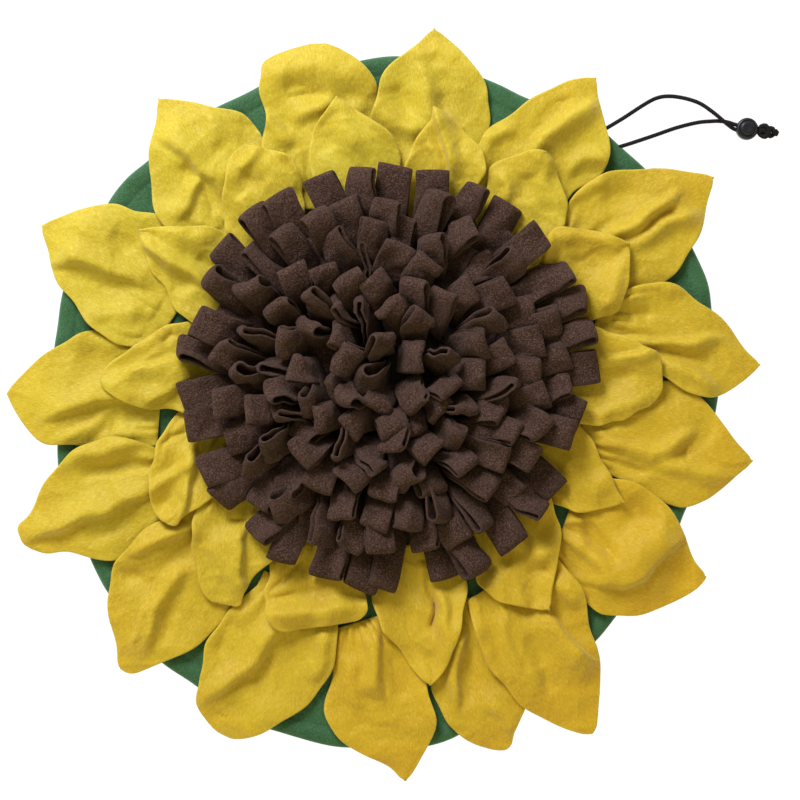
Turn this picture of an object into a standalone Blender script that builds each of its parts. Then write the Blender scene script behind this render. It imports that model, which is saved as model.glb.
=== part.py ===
"""Sunflower snuffle mat: a round fleece base, two rings of fleece petals,
a pile of fleece loops and a drawstring with its cord lock.

Sizes are in millimetres in the tables and become metres in the meshes.
The mat lies flat: the underside of the base is z = 0, +Y is up in the picture.
"""
import math
import bpy
import bmesh
import numpy as np

MM = 0.001
CLOTH = 2.0
GAP = 0.8
MAP_CELL = 2.0
MAP_HALF = 320.0

# ---------------------------------------------------------------- base
BASE_CENTRE = (0.0, -3.0)
# reach of the base's rim, every 22.5 degrees from +X, anticlockwise
BASE_REACH = (252, 262, 265, 260, 267, 265, 266, 267, 260, 260, 265, 268, 267, 254, 240, 243)
BASE_TOP = 3.0
HEM_TOP = 5.0

# ---------------------------------------------------------------- petals
# a petal's length is cut at these shares, counted from its root
SHARES = (0.0, 0.25, 0.5, 0.75, 0.9, 1.0)
# name, root x y, tip x y, widths left of the middle line at the shares, widths right of it
# the rows are in the order the petals are laid, lowest first
PETALS = (
    ("outer_petal_05", (158, -31), (280, -47), (17, 46, 52, 29, 11, 1), (17, 32, 42, 34, 14, 2)),
    ("outer_petal_13", (-177, -4), (-296, 5), (17, 31, 35, 35, 19, 2), (17, 52, 52, 34, 17, 2)),
    ("outer_petal_08", (55, -154), (89, -270), (17, 35, 37, 26, 11, 5), (17, 28, 41, 35, 23, 5)),
    ("outer_petal_09", (-25, -171), (12, -294), (16, 32, 37, 33, 16, 2), (16, 28, 45, 28, 8, 2)),
    ("outer_petal_14", (-175, 75), (-269, 135), (17, 45, 38, 26, 11, 2), (17, 55, 49, 36, 16, 2)),
    ("outer_petal_15", (-113, 145), (-179, 233), (17, 45, 46, 27, 10, 1), (17, 41, 47, 27, 12, 1)),
    ("outer_petal_16", (-55, 160), (-55, 275), (17, 38, 42, 45, 38, 9), (17, 38, 45, 43, 28, 8)),
    ("outer_petal_01", (32, 169), (34, 287), (17, 46, 42, 33, 12, 1), (17, 40, 44, 32, 15, 1)),
    ("outer_petal_02", (102, 150), (159, 249), (17, 52, 43, 28, 16, 2), (17, 35, 42, 25, 8, 1)),
    ("outer_petal_03", (150, 104), (250, 172), (17, 51, 45, 28, 13, 2), (17, 44, 42, 27, 11, 1)),
    ("outer_petal_04", (171, 58), (286, 27), (17, 42, 35, 21, 7, 1), (17, 22, 32, 34, 18, 2)),
    ("outer_petal_06", (140, -98), (244, -137), (17, 47, 46, 27, 8, 2), (17, 48, 53, 38, 21, 5)),
    ("outer_petal_07", (92, -152), (156, -258), (17, 50, 38, 28, 13, 4), (17, 41, 38, 28, 14, 3)),
    ("outer_petal_12", (-168, -60), (-286, -105), (17, 42, 45, 25, 19, 8), (17, 46, 46, 30, 13, 8)),
    ("outer_petal_11", (-146, -108), (-208, -208), (17, 45, 46, 31, 18, 9), (17, 43, 45, 29, 11, 3)),
    ("outer_petal_10", (-79, -154), (-128, -259), (17, 52, 51, 36, 23, 9), (17, 28, 42, 34, 28, 9)),
    ("inner_petal_06", (123, -36), (180, -79), (14, 27, 19, 9, 4, 1), (14, 27, 33, 25, 12, 1)),
    ("inner_petal_08", (23, -132), (31, -219), (14, 35, 28, 20, 11, 2), (14, 38, 32, 18, 10, 2)),
    ("inner_petal_03", (90, 112), (122, 189), (14, 33, 35, 35, 20, 11), (14, 26, 32, 21, 9, 2)),
    ("inner_petal_04", (118, 77), (184, 120), (14, 36, 40, 25, 12, 2), (14, 31, 38, 27, 12, 2)),
    ("inner_petal_05", (133, 13), (209, 19), (14, 42, 37, 28, 21, 17), (14, 34, 33, 26, 20, 13)),
    ("inner_petal_07", (88, -101), (122, -161), (14, 36, 33, 15, 7, 1), (14, 30, 37, 25, 12, 2)),
    ("inner_petal_09", (-65, -119), (-54, -174), (14, 35, 37, 38, 38, 32), (14, 31, 38, 39, 36, 31)),
    ("inner_petal_10", (-116, -82), (-129, -157), (14, 29, 31, 17, 15, 15), (14, 32, 31, 23, 18, 11)),
    ("inner_petal_11", (-137, -28), (-169, -95), (14, 23, 25, 14, 7, 7), (14, 36, 34, 28, 20, 12)),
    ("inner_petal_12", (-137, 22), (-222, 15), (14, 32, 26, 22, 13, 5), (14, 40, 35, 21, 14, 5)),
    ("inner_petal_13", (-130, 69), (-193, 131), (14, 24, 18, 13, 6, 1), (14, 44, 44, 25, 11, 1)),
    ("inner_petal_14", (-91, 122), (-116, 194), (14, 30, 26, 18, 11, 4), (14, 33, 37, 34, 19, 8)),
    ("inner_petal_01", (-27, 144), (-41, 233), (14, 28, 28, 22, 9, 1), (14, 37, 41, 25, 9, 1)),
    ("inner_petal_02", (32, 144), (34, 225), (14, 22, 20, 10, 2, 1), (14, 34, 41, 26, 12, 1)),
)
ALONG = (0.0, 0.14, 0.33, 0.53, 0.72, 0.88, 1.0)
ACROSS = (-1.0, -0.66, -0.33, 0.0, 0.33, 0.66, 1.0)

# soft folds: petal, one end x y, other end x y, height (negative sinks), spread
FOLDS = (
    ("outer_petal_01", (-8, 223), (18, 206), 6, 9),
    ("outer_petal_02", (112, 192), (128, 217), 8, 8),
    ("outer_petal_02", (128, 217), (156, 231), 6, 8),
    ("outer_petal_03", (172, 131), (225, 159), 7, 8),
    ("outer_petal_04", (192, 45), (243, 44), 6, 8),
    ("outer_petal_05", (166, -28), (196, -40), 7, 8),
    ("outer_petal_05", (196, -40), (239, -28), 6, 8),
    ("outer_petal_06", (154, -142), (223, -112), 8, 9),
    ("outer_petal_07", (122, -163), (150, -196), 5, 8),
    ("outer_petal_08", (45, -216), (52, -243), 5, 8),
    ("outer_petal_09", (8, -196), (14, -231), 5, 8),
    ("outer_petal_10", (-99, -185), (-137, -234), 8, 9),
    ("outer_petal_11", (-156, -129), (-192, -185), 7, 8),
    ("outer_petal_12", (-169, -58), (-281, -101), 7, 9),
    ("outer_petal_13", (-260, -10), (-223, 8), 5, 8),
    ("outer_petal_14", (-249, 108), (-219, 106), 6, 8),
    ("outer_petal_14", (-219, 106), (-185, 89), 6, 8),
    ("outer_petal_15", (-173, 196), (-129, 169), 6, 9),
    ("outer_petal_16", (-94, 253), (-54, 266), 10, 10),
    ("outer_petal_16", (-54, 266), (-15, 243), 10, 10),
    ("inner_petal_02", (38, 222), (55, 169), 8, 8),
    ("inner_petal_03", (108, 162), (122, 181), 4, 9),
    ("inner_petal_04", (171, 120), (171, 77), 5, 9),
    ("inner_petal_05", (150, 29), (202, 34), 6, 8),
    ("inner_petal_07", (96, -146), (122, -112), 5, 9),
    ("inner_petal_08", (15, -169), (23, -192), 5, 9),
    ("inner_petal_09", (-94, -162), (-22, -154), 9, 9),
    ("inner_petal_10", (-122, -100), (-117, -146), 6, 8),
    ("inner_petal_11", (-154, -31), (-173, -86), 6, 8),
    ("inner_petal_12", (-203, 25), (-154, 31), 5, 8),
    ("inner_petal_13", (-191, 128), (-142, 94), 7, 8),
)

# ---------------------------------------------------------------- pile
PILE_ROOT = (-2.0, 18.0)
PILE_MIDDLE = (-3.0, 20.0)
BACKING_RADIUS = 116.0
BACKING_LOW = 3.5
BACKING_TOP = 6.0
# reach of the pile's outermost loops, every 22.5 degrees from +X, anticlockwise
PILE_REACH = (158, 160, 162, 161, 166, 168, 156, 153, 159, 163, 167, 167, 167, 171, 156, 153)
# each ring of loops: how many, root distance, share of the pile's reach, strip width,
# loop length, how far a tip strays from its ring, most turn about the loop's own length
RINGS = (
    (31, 110.0, 1.00, 21.0, 52.0, 2.5, 0.25),
    (27, 95.0, 0.83, 20.0, 53.0, 4.0, 0.5),
    (24, 79.5, 0.665, 19.0, 52.0, 5.0, 0.75),
    (20, 64.0, 0.50, 18.5, 52.0, 6.0, 0.9),
    (15, 48.5, 0.36, 18.5, 52.0, 6.0, 1.0),
    (10, 33.0, 0.24, 18.5, 52.0, 6.0, 1.0),
    (5, 17.5, 0.13, 17.5, 52.0, 5.0, 1.0),
    (1, 0.5, 0.0, 16.0, 52.0, 2.0, 1.0),
)
LEAST_RISE = 14.0
STRIP = 2.1
LEG_SPREAD = 6.0
# least and most ways of standing that are tried for each loop, and the distance that is enough
LEAST_TRIES = 12
MOST_TRIES = 120
ENOUGH = 4.2
LOOP_SEED = 11

# ---------------------------------------------------------------- drawstring
CORD_RADIUS = 1.5
LOCK_CENTRE = (275.3, 209.1)
LOCK_RADIUS = 8.4
LOCK_HEIGHT = 9.0
LOCK_BUTTON = 5.4
KNOT_CENTRE = (288.0, 207.1)
KNOT_END = (297.2, 206.3)


def material(name, colour, rough):
    """A plain Principled material."""
    made = bpy.data.materials.new(name)
    made.use_nodes = True
    shader = made.node_tree.nodes["Principled BSDF"]
    shader.inputs["Base Color"].default_value = (colour[0], colour[1], colour[2], 1.0)
    shader.inputs["Roughness"].default_value = rough
    return made


def put_mesh(name, points, faces, look, smooth=True):
    """A named object from points in millimetres."""
    mesh = bpy.data.meshes.new(name)
    mesh.from_pydata([tuple(p) for p in np.asarray(points) * MM], [], [tuple(f) for f in faces])
    shape = bmesh.new()
    shape.from_mesh(mesh)
    bmesh.ops.recalc_face_normals(shape, faces=shape.faces)
    shape.to_mesh(mesh)
    shape.free()
    mesh.materials.append(look)
    mesh.polygons.foreach_set("use_smooth", [smooth] * len(mesh.polygons))
    item = bpy.data.objects.new(name, mesh)
    bpy.context.scene.collection.objects.link(item)
    return item


def ring_value(table, angle):
    """Value of a table given at even angles, read smoothly in between."""
    values = np.array(table, float)
    count = len(values)
    place = (np.asarray(angle) / (2 * math.pi) * count) % count
    low = np.floor(place).astype(int) % count
    part = place - np.floor(place)
    part = part * part * (3 - 2 * part)
    return values[low] * (1 - part) + values[(low + 1) % count] * part


def half_width(values, share):
    """Smooth width of one side of a petal at a share of its length."""
    known = np.array(SHARES)
    width = np.array(values, float)
    slope = np.gradient(width, known)
    slope[0] = 1.6 * (width[1] - width[0]) / known[1]
    slope[-1] = (width[-1] - width[-2]) / (known[-1] - known[-2])
    cell = np.clip(np.searchsorted(known, share, side="right") - 1, 0, len(known) - 2)
    step = known[cell + 1] - known[cell]
    t = (share - known[cell]) / step
    start = (2 * t ** 3 - 3 * t ** 2 + 1) * width[cell] + (t ** 3 - 2 * t ** 2 + t) * step * slope[cell]
    end = (3 * t ** 2 - 2 * t ** 3) * width[cell + 1] + (t ** 3 - t ** 2) * step * slope[cell + 1]
    return np.maximum(start + end, 1.0)


def petal_plan(row):
    """Plan positions of a petal's grid, rows from root to tip."""
    root = np.array(row[1], float)
    tip = np.array(row[2], float)
    way = (tip - root) / np.hypot(*(tip - root))
    left = np.array([-way[1], way[0]])
    share = np.array(ALONG)
    side = np.array(ACROSS)
    left_width = half_width(row[3], share)[:, None]
    right_width = half_width(row[4], share)[:, None]
    reach = np.where(side[None, :] < 0, side[None, :] * right_width, side[None, :] * left_width)
    middle = root + share[:, None] * (tip - root)
    return middle[:, None, :] + reach[:, :, None] * left


def to_segment(points, one, other):
    """Distance from points to a line between two places."""
    one = np.array(one, float)
    run = np.array(other, float) - one
    along = np.clip(((points - one) @ run) / (run @ run), 0.0, 1.0)
    return np.linalg.norm(points - (one + along[..., None] * run), axis=-1)


def fold_height(name, points):
    """Sum of a petal's soft folds."""
    total = np.zeros(points.shape[:-1])
    for owner, one, other, height, spread in FOLDS:
        if owner == name:
            total += height * np.exp(-(to_segment(points, one, other) / spread) ** 2)
    return total


def map_index(points):
    """Cell of the height map under each plan position."""
    cell = np.round((points + MAP_HALF) / MAP_CELL).astype(int)
    return np.clip(cell, 0, int(2 * MAP_HALF / MAP_CELL))


def widened(heights):
    """Height map in which every cell takes the highest of its neighbours."""
    grown = heights.copy()
    for dx in (-1, 0, 1):
        for dy in (-1, 0, 1):
            grown = np.maximum(grown, np.roll(np.roll(heights, dx, 0), dy, 1))
    return grown


def spots(count):
    """Even spots in a triangle, as weights of its corners."""
    made = []
    for i in range(count + 1):
        for j in range(count + 1 - i):
            made.append((i / count, j / count, 1 - i / count - j / count))
    return np.array(made)


def grid_triangles(rows, columns):
    """Corner numbers of the triangles of a grid."""
    made = []
    for r in range(rows - 1):
        for c in range(columns - 1):
            a = r * columns + c
            made.append((a, a + 1, a + columns + 1))
            made.append((a, a + columns + 1, a + columns))
    return np.array(made)


def lay(plan, low, below):
    """Raise a sheet's underside until it clears what lies below it."""
    weights = spots(12)
    triangles = grid_triangles(plan.shape[0], plan.shape[1])
    flat = plan.reshape(-1, 2)
    height = low.reshape(-1).copy()
    places = np.einsum("kc,tcd->tkd", weights, flat[triangles])
    cells = map_index(places)
    floor = below[cells[..., 0], cells[..., 1]] + GAP
    for turn in range(60):
        need = floor - height[triangles] @ weights.T
        worst = need.argmax(axis=1)
        short = need[np.arange(len(need)), worst]
        if short.max() <= 0.02:
            break
        share = weights[worst]
        lift = np.clip(short, 0, None)[:, None] * share / (share ** 2).sum(axis=1)[:, None]
        top = np.zeros_like(height)
        np.maximum.at(top, triangles, lift)
        height += top
    need = (floor - height[triangles] @ weights.T).max(axis=1)
    top = np.zeros_like(height)
    np.maximum.at(top, triangles, np.clip(need, 0, None)[:, None])
    return (height + top).reshape(low.shape)


def note_height(plan, top, heights):
    """Enter a sheet's upper face in the height map."""
    weights = spots(18)
    triangles = grid_triangles(plan.shape[0], plan.shape[1])
    places = np.einsum("kc,tcd->tkd", weights, plan.reshape(-1, 2)[triangles])
    level = top.reshape(-1)[triangles] @ weights.T
    cells = map_index(places)
    np.maximum.at(heights, (cells[..., 0], cells[..., 1]), level)


def note_cord(places, heights):
    """Enter a strand's top in the height map, so that cloth lies over it."""
    side = np.array([(a, b) for a in (-2.0, 0.0, 2.0) for b in (-2.0, 0.0, 2.0)])
    for one, two in zip(places[:-1], places[1:]):
        for t in np.linspace(0, 1, 8):
            place = one * (1 - t) + two * t
            cells = map_index(place[:2] + side)
            np.maximum.at(heights, (cells[:, 0], cells[:, 1]), place[2] + CORD_RADIUS)


def sheet_solid(name, plan, low, look):
    """A closed sheet from its underside grid."""
    rows, columns = low.shape
    count = rows * columns
    bottom = np.concatenate([plan.reshape(-1, 2), low.reshape(-1, 1)], axis=1)
    upper = bottom + np.array([0.0, 0.0, CLOTH])
    triangles = grid_triangles(rows, columns)
    faces = [tuple(t + count) for t in triangles] + [tuple(t[::-1]) for t in triangles]
    rim = [c for c in range(columns)]
    rim += [r * columns + columns - 1 for r in range(1, rows)]
    rim += [(rows - 1) * columns + c for c in range(columns - 2, -1, -1)]
    rim += [r * columns for r in range(rows - 2, 0, -1)]
    for place, corner in enumerate(rim):
        after = rim[(place + 1) % len(rim)]
        faces.append((corner, after, after + count, corner + count))
    return put_mesh(name, np.concatenate([bottom, upper]), faces, look)


def base_reach(angle):
    """Distance of the base's rim, with the small gathers of its casing."""
    return ring_value(BASE_REACH, angle) + 1.2 * np.sin(21 * angle) + 0.8 * np.sin(13 * angle + 1.0)


def make_base(look):
    """Round base, its turned rim thicker than the cloth inside it."""
    around = 48
    angles = np.arange(around) / around * 2 * math.pi
    reach = base_reach(angles)
    rings = ((0.35, BASE_TOP), (0.7, BASE_TOP), (0.945, BASE_TOP),
             (0.965, HEM_TOP), (0.99, HEM_TOP), (1.0, 3.2))
    points = [(BASE_CENTRE[0], BASE_CENTRE[1], BASE_TOP)]
    for share, level in rings:
        for angle, far in zip(angles, reach):
            x = BASE_CENTRE[0] + share * far * math.cos(angle)
            y = BASE_CENTRE[1] + share * far * math.sin(angle)
            points.append((x, y, level))
    for share in (0.995, 0.6):
        for angle, far in zip(angles, reach):
            x = BASE_CENTRE[0] + share * far * math.cos(angle)
            y = BASE_CENTRE[1] + share * far * math.sin(angle)
            points.append((x, y, 0.0))
    points.append((BASE_CENTRE[0], BASE_CENTRE[1], 0.0))
    faces = []
    loops = len(rings) + 2
    for k in range(around):
        after = (k + 1) % around
        faces.append((0, 1 + k, 1 + after))
        for ring in range(loops - 1):
            a = 1 + ring * around
            b = a + around
            faces.append((a + k, b + k, b + after, a + after))
        last = 1 + (loops - 1) * around
        faces.append((len(points) - 1, last + after, last + k))
    return put_mesh("base_round", points, faces, look)


def base_heights():
    """Height map of the bare base."""
    size = int(2 * MAP_HALF / MAP_CELL) + 1
    place = np.arange(size) * MAP_CELL - MAP_HALF
    x, y = np.meshgrid(place, place, indexing="ij")
    angle = np.arctan2(y - BASE_CENTRE[1], x - BASE_CENTRE[0])
    share = np.hypot(x - BASE_CENTRE[0], y - BASE_CENTRE[1]) / base_reach(angle)
    level = np.where(share < 1.01, BASE_TOP, 0.0)
    return np.where((share > 0.935) & (share < 1.01), HEM_TOP, level)


def rest_height(plan, row):
    """The height a petal's underside takes where nothing lifts it."""
    share = np.array(ALONG)[:, None]
    side = np.array(ACROSS)[None, :]
    puff = 3.0 * np.sin(np.pi * share ** 0.8) * (1 - 0.5 * side ** 2)
    centre = np.array(BASE_CENTRE)
    gone = np.linalg.norm(plan - centre, axis=-1) - 262.0
    droop = np.clip(gone / 40.0, 0.0, 1.0)
    flat = (BASE_TOP + GAP) * (1 - droop) + 1.0 * droop
    return flat + puff + fold_height(row[0], plan)


def loop_path(root, tip, top, width, turn, spread):
    """Middle path of a loop's strip, foot to foot, with its width direction."""
    root3 = np.array([root[0], root[1], BACKING_TOP - 1.0])
    tip3 = np.array([tip[0], tip[1], top])
    lean = tip3 - root3
    bend = root3 + lean * np.array([0.34, 0.34, 0.62])
    away = np.array([lean[0], lean[1], 0.0])
    if np.hypot(away[0], away[1]) < 4.0:
        away = np.array([1.0, 0.0, 0.0])
    away /= np.linalg.norm(away)
    across = np.array([-away[1], away[0], 0.0])
    centres = []
    for t in (0.0, 0.5, 0.93, 1.0):
        place = (1 - t) ** 2 * root3 + 2 * t * (1 - t) * bend + t * t * tip3
        slope = 2 * (1 - t) * (bend - root3) + 2 * t * (tip3 - bend)
        if t == 0.0:
            slope = np.array([0.0, 0.0, 1.0])
        slope /= np.linalg.norm(slope)
        angle = turn * (0.6 + 0.4 * t)
        out = np.cross(across, slope)
        side = across * math.cos(angle) + out * math.sin(angle)
        side -= slope * (side @ slope)
        side /= np.linalg.norm(side)
        centres.append((place, slope, side, np.cross(side, slope)))
    half = spread * 0.5
    order = ((0, 0.85), (1, 1.1), (2, 1.0))
    path = [(centres[k][0] + centres[k][3] * half * share, centres[k][2]) for k, share in order]
    path.append((centres[3][0], centres[3][2]))
    path += [(centres[k][0] - centres[k][3] * half * share, centres[k][2]) for k, share in order[::-1]]
    widths = [0.88, 0.97, 1.03, 1.03, 1.03, 0.97, 0.88]
    return [(place, side, width * part) for (place, side), part in zip(path, widths)]


def path_spots(path):
    """Sample spots over a loop's strip."""
    made = []
    for (one, side, wide), (two, side_two, wide_two) in zip(path[:-1], path[1:]):
        for t in (0.2, 0.6, 1.0):
            middle = one * (1 - t) + two * t
            for share in (-0.5, -0.25, 0.0, 0.25, 0.5):
                made.append(middle + side * wide * share)
    return np.array(made)


def sink_below(cloud, heights):
    """How far a loop reaches into the petals under it."""
    out = np.hypot(cloud[:, 0] - PILE_ROOT[0], cloud[:, 1] - PILE_ROOT[1]) > BACKING_RADIUS - 2.0
    if not out.any():
        return -1.0
    cells = map_index(cloud[out, :2])
    return float((heights[cells[:, 0], cells[:, 1]] + 2.4 - cloud[out, 2]).max())


def polar(centre, far, angle):
    """Plan place at a distance and an angle from a centre."""
    return np.array([centre[0] + far * math.cos(angle), centre[1] + far * math.sin(angle)])


def one_loop(ring, place, chance, slack, heights):
    """One way for a loop to stand, raised until it is clear of the petals."""
    count, root_far, share, width, long, stray, most_turn = RINGS[ring]
    step = 2 * math.pi / count
    angle = (place + 0.5 * (ring % 2)) * step + chance.uniform(-0.08, 0.08) * step * slack
    swing = chance.uniform(-0.12, 0.12) * step * slack
    turn = chance.uniform(-most_turn, most_turn) * slack
    root = polar(PILE_ROOT, root_far, angle)
    far = float(ring_value(PILE_REACH, angle + swing)) * share
    tip = polar(PILE_MIDDLE, far, angle + swing)
    tip += chance.uniform(-stray, stray, 2) * slack
    run = np.hypot(*(tip - root))
    length = long * (1 + chance.uniform(-0.06, 0.06) * slack)
    top = BACKING_TOP + math.sqrt(max(length ** 2 - run ** 2, LEAST_RISE ** 2))
    for raising in range(10):
        path = loop_path(root, tip, top, width, turn, LEG_SPREAD)
        cloud = path_spots(path)
        sunk = sink_below(cloud, heights)
        if sunk <= 0.0:
            break
        top += 1.2 * sunk + 0.4
    return path, cloud


def nearest(cloud, others):
    """Smallest distance from a loop's spots to those of the loops near it."""
    least = 99.0
    for other in others:
        if np.hypot(*(other[0, :2] - cloud[0, :2])) < 60.0:
            gaps = np.linalg.norm(other[:, None, :] - cloud[None, :, :], axis=2)
            least = min(least, gaps.min())
    return least


def loop_layout(heights):
    """Place every loop, each turned so that it stands apart from those before it."""
    chance = np.random.default_rng(LOOP_SEED)
    placed = []
    clouds = []
    for ring, row in enumerate(RINGS):
        for place in range(row[0]):
            best = (-1.0, None, None)
            for attempt in range(MOST_TRIES):
                path, cloud = one_loop(ring, place, chance, float(attempt > 0), heights)
                apart = nearest(cloud, clouds)
                if apart > best[0]:
                    best = (apart, path, cloud)
                if attempt >= LEAST_TRIES and best[0] > ENOUGH:
                    break
            placed.append(best[1])
            clouds.append(best[2])
    return placed


def strip_mesh(path, start):
    """Closed four sided strip along a loop's path."""
    places = np.array([p for p, s, w in path])
    run = np.gradient(places, axis=0)
    run[0] = (0.0, 0.0, 1.0)
    run[-1] = (0.0, 0.0, -1.0)
    points = []
    for (place, side, wide), way in zip(path, run):
        way = way / np.linalg.norm(way)
        thick = np.cross(way, side)
        thick /= np.linalg.norm(thick)
        for a, b in ((-1, -1), (1, -1), (1, 1), (-1, 1)):
            points.append(place + side * wide * 0.5 * a + thick * STRIP * 0.5 * b)
    faces = [(start, start + 1, start + 2, start + 3)]
    for k in range(len(path) - 1):
        a = start + 4 * k
        for c in range(4):
            d = (c + 1) % 4
            faces.append((a + c, a + d, a + 4 + d, a + 4 + c))
    last = start + 4 * (len(path) - 1)
    faces.append((last + 3, last + 2, last + 1, last))
    return points, faces


def make_pile(look, heights):
    """All loops fused into one round backing."""
    points = []
    faces = []
    for path in loop_layout(heights):
        more, sides = strip_mesh(path, len(points))
        points += more
        faces += sides
    strips = put_mesh("strips_helper", points, faces, look)
    around = 40
    disc = []
    for level in (BACKING_LOW, BACKING_TOP):
        for k in range(around):
            angle = 2 * math.pi * k / around
            x = PILE_ROOT[0] + BACKING_RADIUS * math.cos(angle)
            y = PILE_ROOT[1] + BACKING_RADIUS * math.sin(angle)
            disc.append((x, y, level))
    sides = [tuple(range(around))[::-1], tuple(range(around, 2 * around))]
    sides += [(k, (k + 1) % around, around + (k + 1) % around, around + k) for k in range(around)]
    pile = put_mesh("loop_pile", disc, sides, look, smooth=False)
    strips.hide_render = True
    strips.display_type = "WIRE"
    fuse = pile.modifiers.new("fuse", "BOOLEAN")
    fuse.operation = "UNION"
    fuse.solver = "EXACT"
    fuse.object = strips
    return pile


def cord(name, places, look):
    """A round cord through the given places."""
    curve = bpy.data.curves.new(name, "CURVE")
    curve.dimensions = "3D"
    curve.bevel_depth = CORD_RADIUS * MM
    curve.bevel_resolution = 2
    curve.use_fill_caps = True
    line = curve.splines.new("POLY")
    line.points.add(len(places) - 1)
    for point, place in zip(line.points, places):
        point.co = (place[0] * MM, place[1] * MM, place[2] * MM, 1.0)
    curve.materials.append(look)
    item = bpy.data.objects.new(name, curve)
    bpy.context.scene.collection.objects.link(item)
    return item


def smooth_path(knots, spacing):
    """Even points along a smooth line through the given places."""
    knots = np.array(knots, float)
    ends = np.concatenate([[2 * knots[0] - knots[1]], knots, [2 * knots[-1] - knots[-2]]])
    fine = []
    for k in range(len(knots) - 1):
        a, b, c, d = ends[k:k + 4]
        for t in np.linspace(0, 1, 24, endpoint=False):
            fine.append(0.5 * (2 * b + (c - a) * t + (2 * a - 5 * b + 4 * c - d) * t ** 2
                               + (3 * b - a - 3 * c + d) * t ** 3))
    fine.append(knots[-1])
    fine = np.array(fine)
    far = np.concatenate([[0], np.cumsum(np.linalg.norm(np.diff(fine, axis=0), axis=1))])
    count = max(3, int(round(far[-1] / spacing)) + 1)
    even = np.linspace(0, far[-1], count)
    return np.stack([np.interp(even, far, fine[:, axis]) for axis in range(3)], axis=1)


# strand paths from the base's casing to the end knot, x y z
UPPER_STRAND = (
    (163.6, 207.8, 2.2), (179, 217, 1.9), (196, 228, 1.9), (206, 233.2, 1.9), (216, 234.6, 2.2),
    (228, 232.7, 3.6), (239, 228.7, 5.2), (248, 222.5, 6.2), (253.3, 218.2, 6.6),
    (260, 212.6, 6.0), (266.5, 208.6, 4.6), (275, 207.2, 4.5), (281.6, 207.0, 4.5), (283.3, 206.9, 4.5),
)
LOWER_STRAND = (
    (176.4, 195.3, 2.2), (187, 198.6, 1.9), (204, 204.3, 1.9), (221, 210.2, 1.9), (237, 214.2, 1.9),
    (248, 215.3, 1.9), (255, 215.4, 1.9), (261, 214.4, 2.8), (267, 212.3, 4.2),
    (275, 211.0, 4.5), (281.6, 210.9, 4.5), (283.3, 210.4, 4.5),
)


def turned(name, rings, centre, look, around=24):
    """A round body turned about a standing axis: radius and height pairs."""
    points = []
    for radius, level in rings:
        for k in range(around):
            angle = 2 * math.pi * k / around
            points.append((centre[0] + radius * math.cos(angle), centre[1] + radius * math.sin(angle), level))
    points.append((centre[0], centre[1], rings[0][1]))
    points.append((centre[0], centre[1], rings[-1][1]))
    faces = []
    for ring in range(len(rings) - 1):
        for k in range(around):
            a = ring * around + k
            b = ring * around + (k + 1) % around
            faces.append((a, b, b + around, a + around))
    low = len(points) - 2
    last = (len(rings) - 1) * around
    for k in range(around):
        after = (k + 1) % around
        faces.append((low, after, k))
        faces.append((low + 1, last + k, last + after))
    return put_mesh(name, points, faces, look)


def make_lock(look):
    """Round cord lock with a slot for both strands and a button on top."""
    r = LOCK_RADIUS
    rings = ((r - 1.0, 0.4), (r, 1.4), (r, LOCK_HEIGHT - 1.4), (r - 1.2, LOCK_HEIGHT - 0.3),
             (LOCK_BUTTON + 0.6, LOCK_HEIGHT), (LOCK_BUTTON, LOCK_HEIGHT + 0.3),
             (LOCK_BUTTON - 0.4, LOCK_HEIGHT + 1.2), (LOCK_BUTTON - 1.4, LOCK_HEIGHT + 1.5))
    lock = turned("cord_lock", rings, LOCK_CENTRE, look)
    slot_half = (12.0, 4.3, 2.1)
    corners = [(a * slot_half[0], b * slot_half[1], c * slot_half[2])
               for c in (-1, 1) for b in (-1, 1) for a in (-1, 1)]
    tilt = math.radians(-2.0)
    points = []
    for x, y, z in corners:
        px = LOCK_CENTRE[0] + x * math.cos(tilt) - y * math.sin(tilt)
        py = LOCK_CENTRE[1] + x * math.sin(tilt) + y * math.cos(tilt)
        points.append((px, py, 4.5 + z))
    faces = [(0, 2, 3, 1), (4, 5, 7, 6), (0, 1, 5, 4), (2, 6, 7, 3), (0, 4, 6, 2), (1, 3, 7, 5)]
    slot = put_mesh("slot_helper", points, faces, look, smooth=False)
    slot.hide_render = True
    slot.display_type = "WIRE"
    cut = lock.modifiers.new("slot", "BOOLEAN")
    cut.operation = "DIFFERENCE"
    cut.solver = "EXACT"
    cut.object = slot
    return lock


def lump(centre, sizes, seed, around=12, stack=7):
    """Points and faces of a rounded lump."""
    points = [(centre[0], centre[1], centre[2] - sizes[2])]
    for row in range(1, stack):
        up = -math.pi / 2 + math.pi * row / stack
        for k in range(around):
            angle = 2 * math.pi * k / around
            swell = 1 + 0.07 * math.sin(2 * angle + 3 * up + seed)
            points.append((centre[0] + sizes[0] * math.cos(up) * math.cos(angle) * swell,
                           centre[1] + sizes[1] * math.cos(up) * math.sin(angle) * swell,
                           centre[2] + sizes[2] * math.sin(up)))
    points.append((centre[0], centre[1], centre[2] + sizes[2]))
    faces = []
    for k in range(around):
        after = (k + 1) % around
        faces.append((0, 1 + after, 1 + k))
        for row in range(stack - 2):
            a = 1 + row * around
            faces.append((a + k, a + after, a + around + after, a + around + k))
        last = 1 + (stack - 2) * around
        faces.append((last + k, last + after, len(points) - 1))
    return points, faces


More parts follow.
